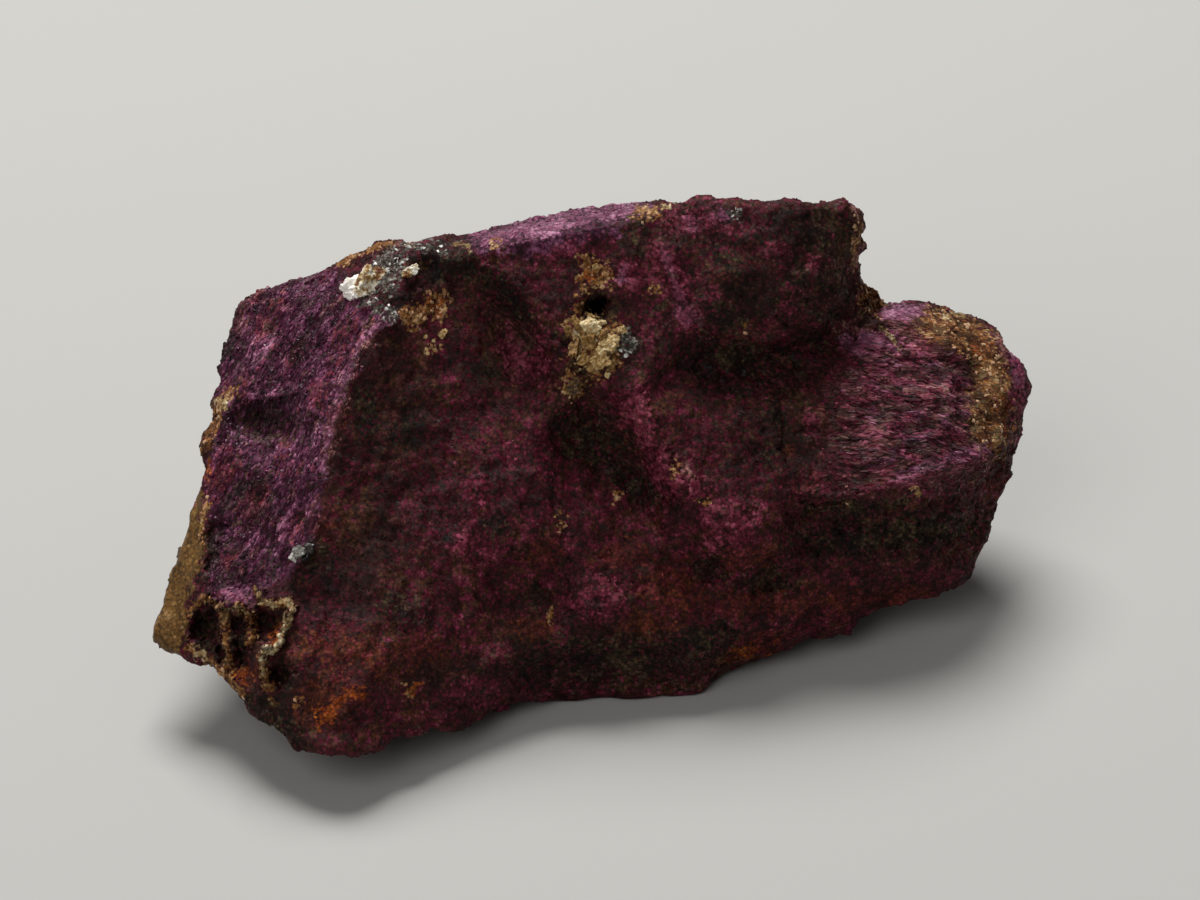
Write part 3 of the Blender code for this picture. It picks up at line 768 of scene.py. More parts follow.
def mapped(tree, value, start, end, low=0, high=1, interpolation="LINEAR"):
    # a value moved from one range to another, and kept inside it
    values = {0: value, 1: start, 2: end, 3: low, 4: high}
    return addNode(tree, "ShaderNodeMapRange", values, interpolation_type=interpolation).outputs[0]


def clouds(tree, place, size, detail, roughness):
    return addNode(tree, "ShaderNodeTexNoise", {
        "Vector": place, "Scale": 1 / size, "Detail": detail, "Roughness": roughness,
    }).outputs["Fac"]


def pointShare(tree, name):
    return addNode(tree, "ShaderNodeAttribute", attribute_name=name).outputs["Fac"]


def blended(tree, share, under, over):
    return addNode(tree, "ShaderNodeMix", {0: share, 6: under, 7: over}, data_type="RGBA").outputs[2]


def placeInMm(tree):
    place = addNode(tree, "ShaderNodeTexCoord").outputs["Object"]
    return addNode(tree, "ShaderNodeMapping", {"Vector": place, "Scale": [1 / mm] * 3}).outputs[0]


def newMaterial(name):
    material = bpy.data.materials.new(name)
    material.use_nodes = True
    material.node_tree.nodes.clear()
    return material


stoneColours = {
    "ground": ("#130a07", "#381116", "#661c30", "#a44668"),  # dull maroon, dark to light
    "brown": ("#130e07", "#36200e", "#6a4424"),
    # the colour of the painted shade in the hollows and the gaps between the grains
    "paintedShade": "#080604",
    "sugarSize": 0.2,  # mm, the sugar grains of the broken phosphate
    "grainSize": 0.26,
    "mottleSize": 0.9,
    "patchSize": 3.4,
    "stainSize": 0.6,  # mm, the brown stains between the grains
    "bump": 0.1,  # mm, height of the sugar
    "glintShare": 0.12,  # of the sugar grains, those with a face smooth enough to glint
    "glintRoughness": 0.18,
    # the gaps between the grains are darkened as painted shade
    "gap": 0.6,  # how dark the gaps between the grains are
    "ownLight": 0.4,  # how much a grain differs from its neighbours
    "cloudWeights": (1.1, 1.2, 1.1),  # grain, mottling, patches
    "lightRange": (1.7, 0.68),  # the middle of their sum, and its reach from dark to light
    "brownChance": 0.25,
    "brownStain": 1.4,
    "brownRange": (1.24, 1.6),
    "brownMost": 0.85,
    "roughness": (0.5, 0.75),
    "edgeChance": 0.6,  # how much single grains break up the edge of a cover
    "edgeMiddle": 1.35,
    "coverEdge": (0.34, 0.66),
    "chipTone": (0.65, 1.35),
}

# Colours of each cover, dark to light, how ragged its edge is, how rough it is, and how thick.
coverLooks = {
    "earth": (("#0a0805", "#281a10", "#604228"), 1.6, 0.8, 0.65),
    # violet cleavage colour, partly painted sheen on the lit edges
    "violet": (("#150a0b", "#521c38", "#ac6c92"), 0.7, 0.45, 0.85),
    "blush": (("#301616", "#7c4644", "#d0a094"), 1.2, 0.5, 0.65),
    # pale lilac painted sheen and glints
    "lilac": (("#3c1828", "#90506c", "#d89cb8"), 0.9, 0.4, 0.9),
    "pink": (("#320e18", "#7c263c", "#c4607c"), 1.5, 0.55, 0.62),
    "rust": (("#200c06", "#542012", "#944420"), 1.6, 0.8, 0.5),
    "ochre": (("#241808", "#946030", "#e6c48e"), 1.6, 0.8, 0.9),
    "ember": (("#3a1608", "#8c3c10", "#cc7424"), 1.5, 0.8, 0.8),
    # the black-green coating, partly painted shade
    "coal": (("#030403", "#15130c", "#5c5238"), 1.9, 0.85, 0.78),
    "cream": (("#4c3618", "#b09060", "#ece0bc"), 1.2, 0.6, 0.95),
    "silver": (("#12110e", "#4c483e", "#b0aca0"), 1.6, 0.4, 0.85),
    "slab": (("#4c3414", "#704e26", "#94733e"), 0.1, 0.4, 1.0),
}


def rampColour(tree, light, codes, first=0.1, last=0.9):
    # colours spread evenly over a colour ramp, dark to light
    node = addNode(tree, "ShaderNodeValToRGB", {0: light})
    ramp = node.color_ramp.elements
    while len(ramp) < len(codes):
        ramp.new(0.5)
    for number, (stop, code) in enumerate(zip(ramp, codes)):
        stop.position = first + (last - first) * number / (len(codes) - 1)
        stop.color = linearColour(code)
    return node.outputs[0]


def phosphateMaterial(name, shine, leaning):
    # Purpurite, an oxidised phosphate, broken by hand: dull maroon to silky violet where its
    # cleavage catches the light, the violet partly painted sheen. It gives the eye a sugary ground
    # with crusts let into it, and painted shade in its hollows.
    material = newMaterial(name)
    tree = material.node_tree
    looks = stoneColours
    inMm = placeInMm(tree)
    thread = addNode(tree, "ShaderNodeAttribute", attribute_name="grainPlace").outputs["Vector"]
    grain = clouds(tree, thread, looks["grainSize"], 4, 0.75)
    mottle = clouds(tree, thread, looks["mottleSize"], 3, 0.65)
    patch = clouds(tree, inMm, looks["patchSize"], 4, 0.6)
    stain = clouds(tree, inMm, looks["stainSize"], 3, 0.6)
    sugar = addNode(tree, "ShaderNodeTexVoronoi", {"Vector": thread, "Scale": 1 / looks["sugarSize"]}).outputs
    chance = addNode(tree, "ShaderNodeSeparateColor", {0: sugar["Color"]}).outputs

    # how light each grain is: its own chance, clouded by the mottling and the patches
    light = maths(tree, "MULTIPLY_ADD", chance[0], looks["ownLight"], -looks["ownLight"] / 2)
    for cloud, weight in zip((grain, mottle, patch), looks["cloudWeights"]):
        light = maths(tree, "MULTIPLY_ADD", cloud, weight, light)
    middle, reach = looks["lightRange"]
    light = mapped(tree, light, middle - reach, middle + reach)
    ground = rampColour(tree, light, looks["ground"])
    earth = rampColour(tree, light, looks["brown"])
    brown = maths(tree, "MULTIPLY_ADD", chance[1], looks["brownChance"], patch)
    brown = maths(tree, "MULTIPLY_ADD", stain, looks["brownStain"], brown)
    brownShare = mapped(tree, brown, *looks["brownRange"], 0, looks["brownMost"], "SMOOTHSTEP")
    colour = blended(tree, brownShare, ground, earth)
    roughness = mapped(tree, grain, 0.3, 0.7, *looks["roughness"])

    # each cover lies over the last, with an edge that breaks up grain by grain
    edge = maths(tree, "MULTIPLY_ADD", chance[2], looks["edgeChance"], grain)
    edge = maths(tree, "ADD", edge, mottle)
    edge = maths(tree, "SUBTRACT", edge, looks["edgeMiddle"])
    for coverName, (codes, ragged, rough, thick) in coverLooks.items():
        laid = pointShare(tree, coverName)
        near = mapped(tree, laid, 0, 0.3, 0, ragged)
        laid = maths(tree, "MULTIPLY_ADD", edge, near, laid)
        share = mapped(tree, laid, *looks["coverEdge"], 0, thick, "SMOOTHSTEP")
        colour = blended(tree, share, colour, rampColour(tree, light, codes))
        roughness = addNode(tree, "ShaderNodeMix", {0: share, 2: roughness, 3: rough}).outputs[0]

    # painted shade in the hollows and the gaps between the grains, and every chip a little lighter or darker
    # than the next
    speck = mapped(tree, edge, -0.3, 0.3, 0.2, 1.1)
    hollow = maths(tree, "MULTIPLY", pointShare(tree, "hollow"), speck)
    gap = mapped(tree, sugar["Distance"], 0.35, 0.8, 0, looks["gap"])
    paintedShadeShare = maths(tree, "MULTIPLY_ADD", hollow, 0.5, gap)
    glint = maths(tree, "LESS_THAN", chance[1], looks["glintShare"])
    roughness = addNode(tree, "ShaderNodeMix", {
        0: glint, 2: roughness, 3: looks["glintRoughness"],
    }).outputs[0]
    colour = blended(tree, paintedShadeShare, colour, linearColour(looks["paintedShade"]))
    tone = mapped(tree, pointShare(tree, "tone"), 0, 1, *looks["chipTone"])
    colour = addNode(tree, "ShaderNodeVectorMath", {0: colour, 3: tone}, operation="SCALE").outputs[0]

    # every sugar grain is a little plane that leans its own way, so some of them glint
    lean = addNode(tree, "ShaderNodeVectorMath", {
        0: sugar["Color"], 1: (0.5, 0.5, 0.5),
    }, operation="SUBTRACT").outputs[0]
    lean = addNode(tree, "ShaderNodeVectorMath", {0: lean, 3: leaning}, operation="SCALE").outputs[0]
    bump = addNode(tree, "ShaderNodeBump", {
        "Height": grain, "Distance": looks["bump"] * mm, "Strength": 1.0,
    }).outputs[0]
    facing = addNode(tree, "ShaderNodeVectorMath", {0: bump, 1: lean}, operation="ADD").outputs[0]
    facing = addNode(tree, "ShaderNodeVectorMath", {0: facing}, operation="NORMALIZE").outputs[0]
    shader = addNode(tree, "ShaderNodeBsdfPrincipled", {
        "Base Color": colour, "Roughness": roughness, "Normal": facing, "IOR": 1.5,
        "Specular IOR Level": shine,
    })
    addNode(tree, "ShaderNodeOutputMaterial", {"Surface": shader.outputs[0]})
    return material


# Small chips and crystals that stand in the skin, spread by one node tree

def lumpMesh(name, corners, length, width, height, seed):
    # a little broken block: the hull of two jittered rings of corners, sizes in mm
    pick = random.Random(seed)
    bm = bmesh.new()
    for level, share in ((-0.5, 1.0), (0.5, 0.62)):
        for step in range(corners):
            angle = 2 * math.pi * (step + 0.35 * pick.uniform(-1, 1)) / corners
            reach = 0.5 * share * pick.uniform(0.75, 1.15)
            place = (length * reach * math.cos(angle), width * reach * math.sin(angle),
                     height * (level + pick.uniform(-0.18, 0.18)))
            bm.verts.new(Vector(place) * mm)
    hull = bmesh.ops.convex_hull(bm, input=bm.verts)
    spare = hull["geom_interior"] + hull["geom_unused"]
    spare = [item for item in spare if isinstance(item, bmesh.types.BMVert)]
    bmesh.ops.delete(bm, geom=spare, context="VERTS")
    bmesh.ops.triangulate(bm, faces=bm.faces)
    bmesh.ops.recalc_face_normals(bm, faces=bm.faces)
    mesh = bpy.data.meshes.new(name)
    bm.to_mesh(mesh)
    bm.free()
    return mesh


def spreadTree():
    # points on the stone's skin, each with a shape stood on it, the right way round
    tree = bpy.data.node_groups.new("spreadChips", "GeometryNodeTree")
    sockets = (
        ("Geometry", "NodeSocketGeometry"), ("Shapes", "NodeSocketCollection"),
        ("Cover", "NodeSocketString"), ("Per Square Metre", "NodeSocketFloat"),
        ("Smallest", "NodeSocketFloat"), ("Largest", "NodeSocketFloat"),
        ("Lean", "NodeSocketVector"), ("Lengthwise", "NodeSocketVector"),
        ("Seed", "NodeSocketInt"), ("Material", "NodeSocketMaterial"),
    )
    for label, kind in sockets:
        tree.interface.new_socket(label, in_out="INPUT", socket_type=kind)
    tree.interface.new_socket("Geometry", in_out="OUTPUT", socket_type="NodeSocketGeometry")
    given = addNode(tree, "NodeGroupInput").outputs
    cover = addNode(tree, "GeometryNodeInputNamedAttribute", {"Name": given["Cover"]}, data_type="FLOAT")
    density = addNode(tree, "ShaderNodeMath", {
        0: cover.outputs["Attribute"], 1: given["Per Square Metre"],
    }, operation="MULTIPLY")
    spread = addNode(tree, "GeometryNodeDistributePointsOnFaces", {
        "Mesh": given["Geometry"], "Density": density.outputs[0], "Seed": given["Seed"],
    })
    upright = addNode(tree, "FunctionNodeAlignRotationToVector", {
        "Vector": spread.outputs["Normal"],
    }, axis="Z")
    laid = addNode(tree, "FunctionNodeAlignRotationToVector", {
        "Rotation": upright.outputs[0], "Vector": given["Lengthwise"],
    }, axis="X", pivot_axis="Z")
    backward = addNode(tree, "ShaderNodeVectorMath", {0: given["Lean"], 3: -1.0}, operation="SCALE")
    lean = addNode(tree, "FunctionNodeRandomValue", {
        "Min": backward.outputs[0], "Max": given["Lean"], "Seed": given["Seed"],
    }, data_type="FLOAT_VECTOR")
    leanTurn = addNode(tree, "FunctionNodeEulerToRotation", {0: lean.outputs[0]})
    turned = addNode(tree, "FunctionNodeRotateRotation", {
        0: laid.outputs[0], 1: leanTurn.outputs[0],
    }, rotation_space="LOCAL")
    size = addNode(tree, "FunctionNodeRandomValue", {
        2: given["Smallest"], 3: given["Largest"], "Seed": given["Seed"],
    }, data_type="FLOAT")
    shapes = addNode(tree, "GeometryNodeCollectionInfo", {
        "Collection": given["Shapes"], "Separate Children": True, "Reset Children": True,
    })
    stood = addNode(tree, "GeometryNodeInstanceOnPoints", {
        "Points": spread.outputs["Points"], "Instance": shapes.outputs[0], "Pick Instance": True,
        "Rotation": turned.outputs[0], "Scale": size.outputs[1],
    })
    tone = addNode(tree, "FunctionNodeRandomValue", {"Seed": given["Seed"]}, data_type="FLOAT")
    toned = addNode(tree, "GeometryNodeStoreNamedAttribute", {
        "Geometry": stood.outputs[0], "Name": "tone", "Value": tone.outputs[1],
    }, data_type="FLOAT", domain="INSTANCE")
    solid = addNode(tree, "GeometryNodeRealizeInstances", {0: toned.outputs[0]})
    finished = addNode(tree, "GeometryNodeSetMaterial", {
        "Geometry": solid.outputs[0], "Material": given["Material"],
    })
    addNode(tree, "NodeGroupOutput", {0: finished.outputs[0]})
    return tree


def alongSkin(turn):
    # the world direction of a turn in the face of the stone
    turn = math.radians(turn)
    return rightWay * math.cos(turn) + upWay * math.sin(turn)


# Sizes in mm, numbers for each square mm of full cover, leans in degrees.
chipKinds = {
    "cleavageScales": {
        "where": "onFacet", "perSquareMm": 15, "smallest": 0.5, "largest": 1.2, "lean": (26, 22, 50),
        "turn": stoneSkin["leftGrain"],
        "shapes": [(5, 0.42, 0.28, 0.11), (4, 0.5, 0.22, 0.11), (5, 0.32, 0.3, 0.1)],
        "finish": "silky", "seed": 3,
    },
    "lumpSplinters": {
        "where": "onLump", "perSquareMm": 12, "smallest": 0.4, "largest": 1.2, "lean": (16, 7, 22),
        "turn": stoneSkin["lumpGrain"],
        "shapes": [(4, 1.0, 0.22, 0.1), (4, 0.6, 0.2, 0.1), (5, 0.36, 0.24, 0.1)],
        "finish": "silky", "seed": 5,
    },
    "frontGrains": {
        "where": "onFront", "perSquareMm": 6, "smallest": 0.4, "largest": 1.1, "lean": (18, 18, 180),
        "turn": 0, "shapes": [(3, 0.3, 0.24, 0.09), (4, 0.34, 0.2, 0.08), (4, 0.24, 0.24, 0.09)],
        "finish": "dull", "seed": 7,
    },
    "hiddenGrains": {
        "where": "onHidden", "perSquareMm": 3.2, "smallest": 0.5, "largest": 1.4, "lean": (24, 24, 180),
        "turn": stoneSkin["backGrain"],
        "shapes": [(3, 0.34, 0.26, 0.11), (4, 0.42, 0.24, 0.1), (4, 0.3, 0.26, 0.12)],
        "finish": "dull", "seed": 11,
    },
    "crustCrumbs": {
        "where": "onCrust", "perSquareMm": 4, "smallest": 0.3, "largest": 1.2, "lean": (20, 20, 180),
        "turn": 0, "shapes": [(4, 0.46, 0.34, 0.14), (5, 0.4, 0.3, 0.12), (4, 0.3, 0.26, 0.1)],
        "finish": "crust", "seed": 13,
    },
    "creamCrystals": {
        "where": "onCrystals", "perSquareMm": 3, "smallest": 0.4, "largest": 1.1, "lean": (40, 40, 180),
        "turn": 30, "shapes": [(4, 0.5, 0.3, 0.22), (5, 0.34, 0.26, 0.2), (4, 0.6, 0.2, 0.16)],
        "finish": "cream", "seed": 19,
    },
    "micaFlakes": {
        "where": "onMica", "perSquareMm": 9, "smallest": 0.4, "largest": 1.3, "lean": (60, 60, 180),
        "turn": 20, "shapes": [(6, 0.4, 0.3, 0.05), (5, 0.3, 0.24, 0.05)],
        "finish": "mica", "seed": 17,
    },
}

crystalNest = (595, 345, 40, 42, 0)  # a spot around the vug's crystals
cellNest = (240, 640, 60, 56, 0)  # and one around the cells of the foot


def markChipPlaces(mesh):
    # how thickly each kind of chip covers the skin, from the covers already painted
    points, normals = finePoints(mesh)
    x, y = seenPixels(points)
    facing = facingShare(normals)
    shares = {}
    for name in covers:
        values = np.empty(len(x), np.float32)
        mesh.attributes[name].data.foreach_get("value", values)
        shares[name] = smoothStep(values.astype(float), 0.35, 0.65)
    clear = smoothStep(points[:, 2] / mm, 0.25, 0.6) * (1 - shares["slab"])
    wander = 26 * softNoise(ownPlaces(points) / 1.6, (3, 3, 8))
    facet = insideShare(x + 0.5 * wander, y, leftFacet, 10) * facing
    lump = insideShare(x + wander, y, rightLump, 24) * facing
    crust = np.maximum(shares["ochre"], shares["cream"])
    crystals = spotShare(x, y, crystalNest)
    cells = spotShare(x, y, cellNest)
    storeShare(mesh, "onFacet", facet * (1 - 0.7 * crust) * clear)
    storeShare(mesh, "onLump", lump * (1 - 0.8 * crust) * clear)
    storeShare(mesh, "onFront", facing * (1 - facet) * (1 - lump) * (1 - 0.6 * crust) * clear)
    storeShare(mesh, "onHidden", (1 - facing) * clear)
    storeShare(mesh, "onCrust", crust * facing * clear * (1 - crystals) * (1 - cells))
    storeShare(mesh, "onCrystals", smoothStep(crystals * shares["cream"], 0.3, 0.6) * facing)
    storeShare(mesh, "onMica", shares["silver"] * facing * clear)


def spreadChips(skinMesh, materials):
    tree = spreadTree()
    sockets = {item.name: item.identifier for item in tree.interface.items_tree if item.in_out == "INPUT"}
    made = {}
    for name, kind in chipKinds.items():
        shapes = bpy.data.collections.new(name + "Shapes")
        for number, sizes in enumerate(kind["shapes"]):
            shape = lumpMesh(f"{name}Shape{number}", *sizes, kind["seed"] * 10 + number)
            shapes.objects.link(bpy.data.objects.new(shape.name, shape))
        carrier = carrierOf(skinMesh.copy(), name)
        spread = carrier.modifiers.new("Spread", "NODES")
        spread.node_group = tree
        values = {
            "Shapes": shapes, "Cover": kind["where"], "Per Square Metre": kind["perSquareMm"] / mm ** 2,
            "Smallest": kind["smallest"], "Largest": kind["largest"],
            "Lean": [math.radians(angle) for angle in kind["lean"]],
            "Lengthwise": alongSkin(kind["turn"]), "Seed": kind["seed"],
            "Material": materials[kind["finish"]],
        }
        for label, value in values.items():
            spread[sockets[label]] = value
        mesh = meshOf(carrier)
        mesh.name = name
        for shape in list(shapes.objects):
            bpy.data.objects.remove(shape)
        bpy.data.collections.remove(shapes)
        made[name] = carrierOf(mesh, name)
        say(f"{name}, {len(mesh.polygons)} faces")
    return made


# The single grains that stand out of the skin

def crystalBlock(bm, seed, sizes, cuts, roughness, place, turnTo):
    # a cleaved block: a cube with its corners cut off by planes, and a little roughened
    block = bmesh.new()
    bmesh.ops.create_cube(block, size=2)
    bmesh.ops.subdivide_edges(block, edges=block.edges, cuts=cuts, use_grid_fill=True)
    pick = random.Random(seed)
    for cut in range(7):
        way = Vector([pick.gauss(0, 1) for axis in range(3)]).normalized()
        reach = pick.uniform(0.8, 1.1)
        for vert in block.verts:
            beyond = vert.co.dot(way) - reach
            if beyond > 0:
                vert.co -= way * beyond * 0.97
    lean = Matrix.Rotation(pick.uniform(-0.5, 0.5), 4, "X") @ Matrix.Rotation(pick.uniform(-0.5, 0.5), 4, "Y")
    for vert in block.verts:
        wrinkle = noise.noise(vert.co * 1.9 + Vector((seed, 0, 0)))
        wrinkle += 0.5 * noise.noise(vert.co * 4.5 + Vector((0, seed, 0)))
        vert.co *= 1 + roughness * wrinkle
        vert.co = Vector([part * size * mm for part, size in zip(vert.co, sizes)])
    bmesh.ops.transform(block, matrix=Matrix.Translation(place) @ turnTo @ lean, verts=block.verts)
    bmesh.ops.recalc_face_normals(block, faces=block.faces)
    copies = {vert: bm.verts.new(vert.co) for vert in block.verts}
    for face in block.faces:
        bm.faces.new([copies[vert] for vert in face.verts])
    block.free()


def skinHit(tree, x, y):
    # the point of the skin that shows at a pixel, and the way it faces
    middle = Vector(photo["middlePlace"]) * mm
    across = (x - photo["middlePixel"][0]) / photo["pixelsPerMm"] * mm
    above = (photo["middlePixel"][1] - y) / photo["pixelsPerMm"] * mm
    aim = middle + rightWay * across + upWay * above
    eye = middle + outWay * photo["distance"] * mm
    place, normal, _, _ = tree.ray_cast(eye, (aim - eye).normalized())
    return place, normal


# Colours of the grains, dark to light, the size of their clouds in mm, how much each chip differs
# from the next, and the gloss.
grainLooks = {
    # Vein quartz, cracked: milky white and glassy, stained orange and olive in its cracks.
    "milkyQuartz": {
        "colours": ("#6a3410", "#9c7840", "#ccbc9c", "#ece4d6", "#f4eee6"), "first": 0.3, "last": 0.56,
        "cloud": 0.6, "chipShare": 0.3, "roughness": 0.35, "shine": 0.5, "bump": 0.08,
    },
    # Feldspar crystals, cleaved: blunt cream blocks, some pinkish, some stained tan.
    "creamFeldspar": {
        "colours": ("#2e1e08", "#74501e", "#a67e44", "#d0b27a", "#eedeb4"), "first": 0.3, "last": 0.7,
        "cloud": 0.2, "chipShare": 0.35, "roughness": 0.5, "shine": 0.4, "bump": 0.1,
    },
    # Mica, split: thin grey flakes, some of which are painted white as glints and some stay dark.
    "silverMica": {
        "colours": ("#14130f", "#3a3730", "#7c7870", "#dcd9d2"), "first": 0.22, "last": 0.85,
        "cloud": 0.16, "chipShare": 0.65, "roughness": 0.35, "shine": 0.5, "bump": 0.02,
    },
    # Limonite crust, earthy: crumbs of tan, ochre and dark olive with a dull pinkish bloom.
    "earthyLimonite": {
        "colours": ("#1e180e", "#5a3c1e", "#8c6040", "#b48c68", "#d0b494"), "first": 0.2, "last": 0.85,
        "cloud": 0.5, "chipShare": 0.5, "roughness": 0.8, "shine": 0.2, "bump": 0.04,
    },
}


def grainMaterial(name):
    looks = grainLooks[name]
    material = newMaterial(name)
    tree = material.node_tree
    cloud = clouds(tree, placeInMm(tree), looks["cloud"], 4, 0.65)
    tone = pointShare(tree, "tone")
    blend = addNode(tree, "ShaderNodeMix", {0: looks["chipShare"], 2: cloud, 3: tone}).outputs[0]
    colour = rampColour(tree, blend, looks["colours"], looks["first"], looks["last"])
    bump = addNode(tree, "ShaderNodeBump", {
        "Height": cloud, "Distance": looks["bump"] * mm, "Strength": 1.0,
    }).outputs[0]
    shader = addNode(tree, "ShaderNodeBsdfPrincipled", {
        "Base Color": colour, "Roughness": looks["roughness"], "Normal": bump, "IOR": 1.54,
        "Specular IOR Level": looks["shine"],
    })
    addNode(tree, "ShaderNodeOutputMaterial", {"Surface": shader.outputs[0]})
    return material


# Each block: its middle in pixels, half sizes in mm (long, wide, thick), turn in degrees, how far
# it stands out as a share of its thickness, and how light it is, from 0 to 1.
crystalPieces = {
    "quartzGrains": {
        "finish": "quartz", "seed": 14, "cuts": 14, "roughness": 0.3, "blocks": [
            (354, 288, 0.8, 0.7, 0.5, 35, -0.1, 0.8), (369, 280, 0.8, 0.66, 0.5, 50, -0.2, 0.2),
            (379, 275, 0.46, 0.56, 0.35, 70, -0.2, 0.0), (362, 291, 0.5, 0.4, 0.4, 10, -0.1, 0.5),
            (412, 270, 0.46, 0.34, 0.35, 35, -0.1, 0.3), (407, 274, 0.3, 0.24, 0.3, 0, 0.0, 0.1),
        ],
    },
    "silverGrain": {
        "finish": "mica", "seed": 6, "cuts": 10, "roughness": 0.15, "blocks": [
            # the lighter blocks of this grain are painted glints
            (300, 551, 0.44, 0.4, 0.35, 30, 0.2, 0.62), (309, 547, 0.36, 0.3, 0.3, -20, 0.2, 0.25),
            (294, 556, 0.3, 0.26, 0.25, 60, 0.2, 0.85), (305, 557, 0.3, 0.24, 0.25, 0, 0.1, 0.0),
        ],
    },
    "nestCrystals": {
        "finish": "cream", "seed": 31, "cuts": 9, "roughness": 0.4, "blocks": [
            (592, 326, 0.6, 0.5, 0.5, 15, -0.1, 0.9), (609, 343, 0.62, 0.5, 0.45, -25, 0.0, 0.75),
            (590, 342, 0.42, 0.6, 0.4, 10, -0.3, 0.35), (600, 361, 0.6, 0.46, 0.4, 30, -0.2, 0.6),
            (575, 346, 0.3, 0.8, 0.35, -8, -0.3, 0.3), (583, 358, 0.44, 0.36, 0.35, 40, -0.3, 0.45),
            (578, 325, 0.3, 0.66, 0.3, 35, -0.3, 0.4), (567, 331, 0.26, 0.4, 0.25, -20, -0.3, 0.3),
            (603, 322, 0.24, 0.16, 0.2, 0, 0.0, 0.9), (623, 330, 0.2, 0.24, 0.18, 30, 0.0, 0.75),
            (607, 375, 0.2, 0.18, 0.16, 0, 0.0, 0.8), (573, 381, 0.5, 0.7, 0.3, 8, -0.5, 0.05),
            (612, 362, 0.3, 0.26, 0.26, 20, -0.2, 0.45), (600, 350, 0.36, 0.3, 0.4, 60, 0.0, 0.8),
            (590, 316, 0.34, 0.22, 0.25, -20, 0.0, 0.5), (617, 331, 0.3, 0.22, 0.22, 20, -0.1, 0.55),
            (604, 334, 0.3, 0.24, 0.36, 45, 0.0, 0.3), (592, 368, 0.3, 0.22, 0.26, -30, -0.2, 0.5),
            (442, 334, 0.36, 0.18, 0.2, 65, 0.1, 0.65), (595, 266, 0.22, 0.18, 0.15, 20, 0.0, 0.6),
        ],
    },
}


def setCrystals(skinMesh, materials):
    skinShape = bmesh.new()
    skinShape.from_mesh(skinMesh)
    tree = BVHTree.FromBMesh(skinShape)
    made = {}
    for name, piece in crystalPieces.items():
        bm = bmesh.new()
        tones = []
        for number, (x, y, *sizes, turn, proud, tone) in enumerate(piece["blocks"]):
            place, normal = skinHit(tree, x, y)
            place = place + outWay * sizes[2] * proud * mm
            lengthwise = alongSkin(turn)
            turnTo = Matrix((lengthwise, outWay.cross(lengthwise), outWay)).transposed().to_4x4()
            crystalBlock(bm, piece["seed"] + number, sizes, piece["cuts"], piece["roughness"], place, turnTo)
            tones += [tone] * (len(bm.verts) - len(tones))
        mesh = bpy.data.meshes.new(name)
        bm.to_mesh(mesh)
        bm.free()
        mesh.materials.append(materials[piece["finish"]])
        storeShare(mesh, "tone", np.array(tones))
        made[name] = carrierOf(mesh, name)
        say(f"{name}, {len(mesh.polygons)} faces")
    skinShape.free()
    return made


# Stage: a pale matt floor, a broad soft window high up behind the stone, and a weak fill from
# the front left. Metres and watts.

studio = {
    "floorSize": 2.4,
    "floorColour": "#b0afab",
    "window": {"way": (-0.12, 0.45, 0.86), "distance": 0.62, "size": 0.36, "power": 5.0},
    "fill": {"way": (-0.4, -0.6, 0.7), "distance": 0.8, "size": 0.6, "power": 1.9},
    "sky": 0.12,
}


def paperMaterial():
    # Matt paper board: no gloss, so it gives the eye only the stone's soft shadow.
    material = newMaterial("mattPaper")
    tree = material.node_tree
    place = addNode(tree, "ShaderNodeTexCoord").outputs["Object"]
    fibre = clouds(tree, place, 0.8 * mm, 3, 0.5)
    bump = addNode(tree, "ShaderNodeBump", {
        "Height": fibre, "Distance": 0.02 * mm, "Strength": 0.4,
    }).outputs[0]
    shader = addNode(tree, "ShaderNodeBsdfPrincipled", {
        "Base Color": linearColour(studio["floorColour"]), "Roughness": 0.9, "Normal": bump,
        "Specular IOR Level": 0.2,
    })
    addNode(tree, "ShaderNodeOutputMaterial", {"Surface": shader.outputs[0]})
    return material


def areaLamp(name):
    looks = studio[name]
    lamp = bpy.data.lights.new(name, "AREA")
    lamp.shape = "DISK"
    lamp.size = looks["size"]
    lamp.energy = looks["power"]
    holder = bpy.data.objects.new(name, lamp)
    bpy.context.scene.collection.objects.link(holder)
    towards = Vector(looks["way"]).normalized()
    holder.location = towards * looks["distance"] + Vector((0, 0, 0.01))
    holder.rotation_euler = towards.to_track_quat("Z", "Y").to_euler()


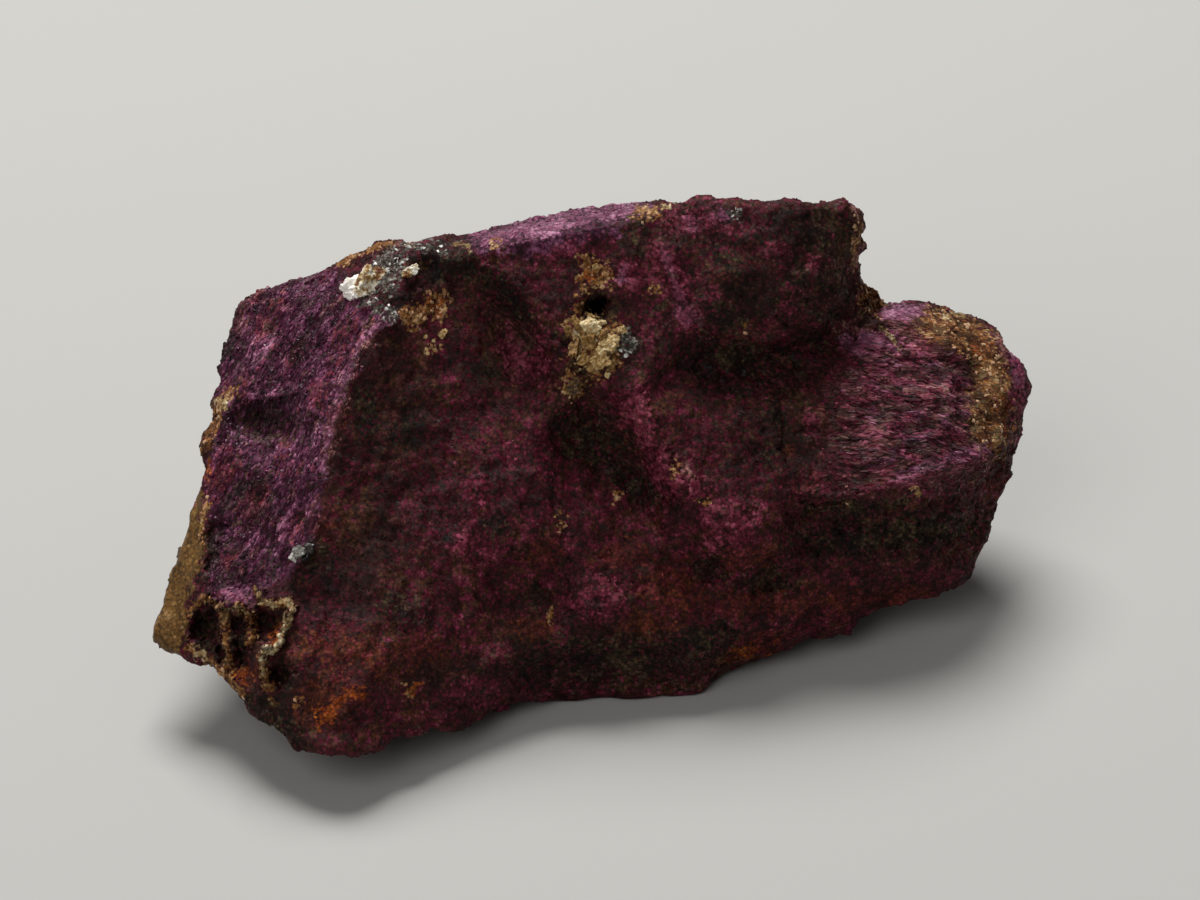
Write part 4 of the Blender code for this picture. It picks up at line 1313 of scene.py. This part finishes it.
def setStage():
    mesh = bpy.data.meshes.new("floor")
    bm = bmesh.new()
    bmesh.ops.create_grid(bm, x_segments=1, y_segments=1, size=studio["floorSize"] / 2)
    bm.to_mesh(mesh)
    bm.free()
    mesh.materials.append(paperMaterial())
    carrierOf(mesh, "floor")
    areaLamp("window")
    areaLamp("fill")
    world = bpy.data.worlds.new("studio")
    world.use_nodes = True
    world.node_tree.nodes["Background"].inputs[0].default_value = (1, 1, 1, 1)
    world.node_tree.nodes["Background"].inputs[1].default_value = studio["sky"]
    bpy.context.scene.world = world
    bpy.context.scene.view_settings.view_transform = "Standard"


def setCamera():
    middle = Vector(photo["middlePlace"]) * mm
    frameMiddle = [side / 2 for side in photo["framePixels"]]
    across = (frameMiddle[0] - photo["middlePixel"][0]) / photo["pixelsPerMm"] * mm
    above = (photo["middlePixel"][1] - frameMiddle[1]) / photo["pixelsPerMm"] * mm
    camera = bpy.data.cameras.new("camera")
    camera.lens = photo["lens"]
    camera.sensor_width = photo["sensor"]
    camera.clip_start = 1 * mm
    holder = bpy.data.objects.new("camera", camera)
    bpy.context.scene.collection.objects.link(holder)
    holder.location = middle + rightWay * across + upWay * above + outWay * photo["distance"] * mm
    holder.rotation_euler = outWay.to_track_quat("Z", "Y").to_euler()
    bpy.context.scene.camera = holder


setStage()
setCamera()
say("stage and camera set")

skinMesh = buildSkin()
paintCovers(skinMesh)
markChipPlaces(skinMesh)
materials = {
    "dull": phosphateMaterial("brokenPurpurite", 0.14, 0.55),
    "silky": phosphateMaterial("cleavedPurpurite", 0.26, 0.8),
    "quartz": grainMaterial("milkyQuartz"),
    "cream": grainMaterial("creamFeldspar"),
    "mica": grainMaterial("silverMica"),
    "crust": grainMaterial("earthyLimonite"),
}
chips = spreadChips(skinMesh, materials)
grains = setCrystals(skinMesh, materials)
skinMesh.materials.clear()
skinMesh.materials.append(materials["dull"])
skin = carrierOf(skinMesh, "stoneSkin")
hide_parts("stone")
for piece in (skin, *chips.values(), *grains.values()):
    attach(piece, "root")

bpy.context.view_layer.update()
say("sizes written")
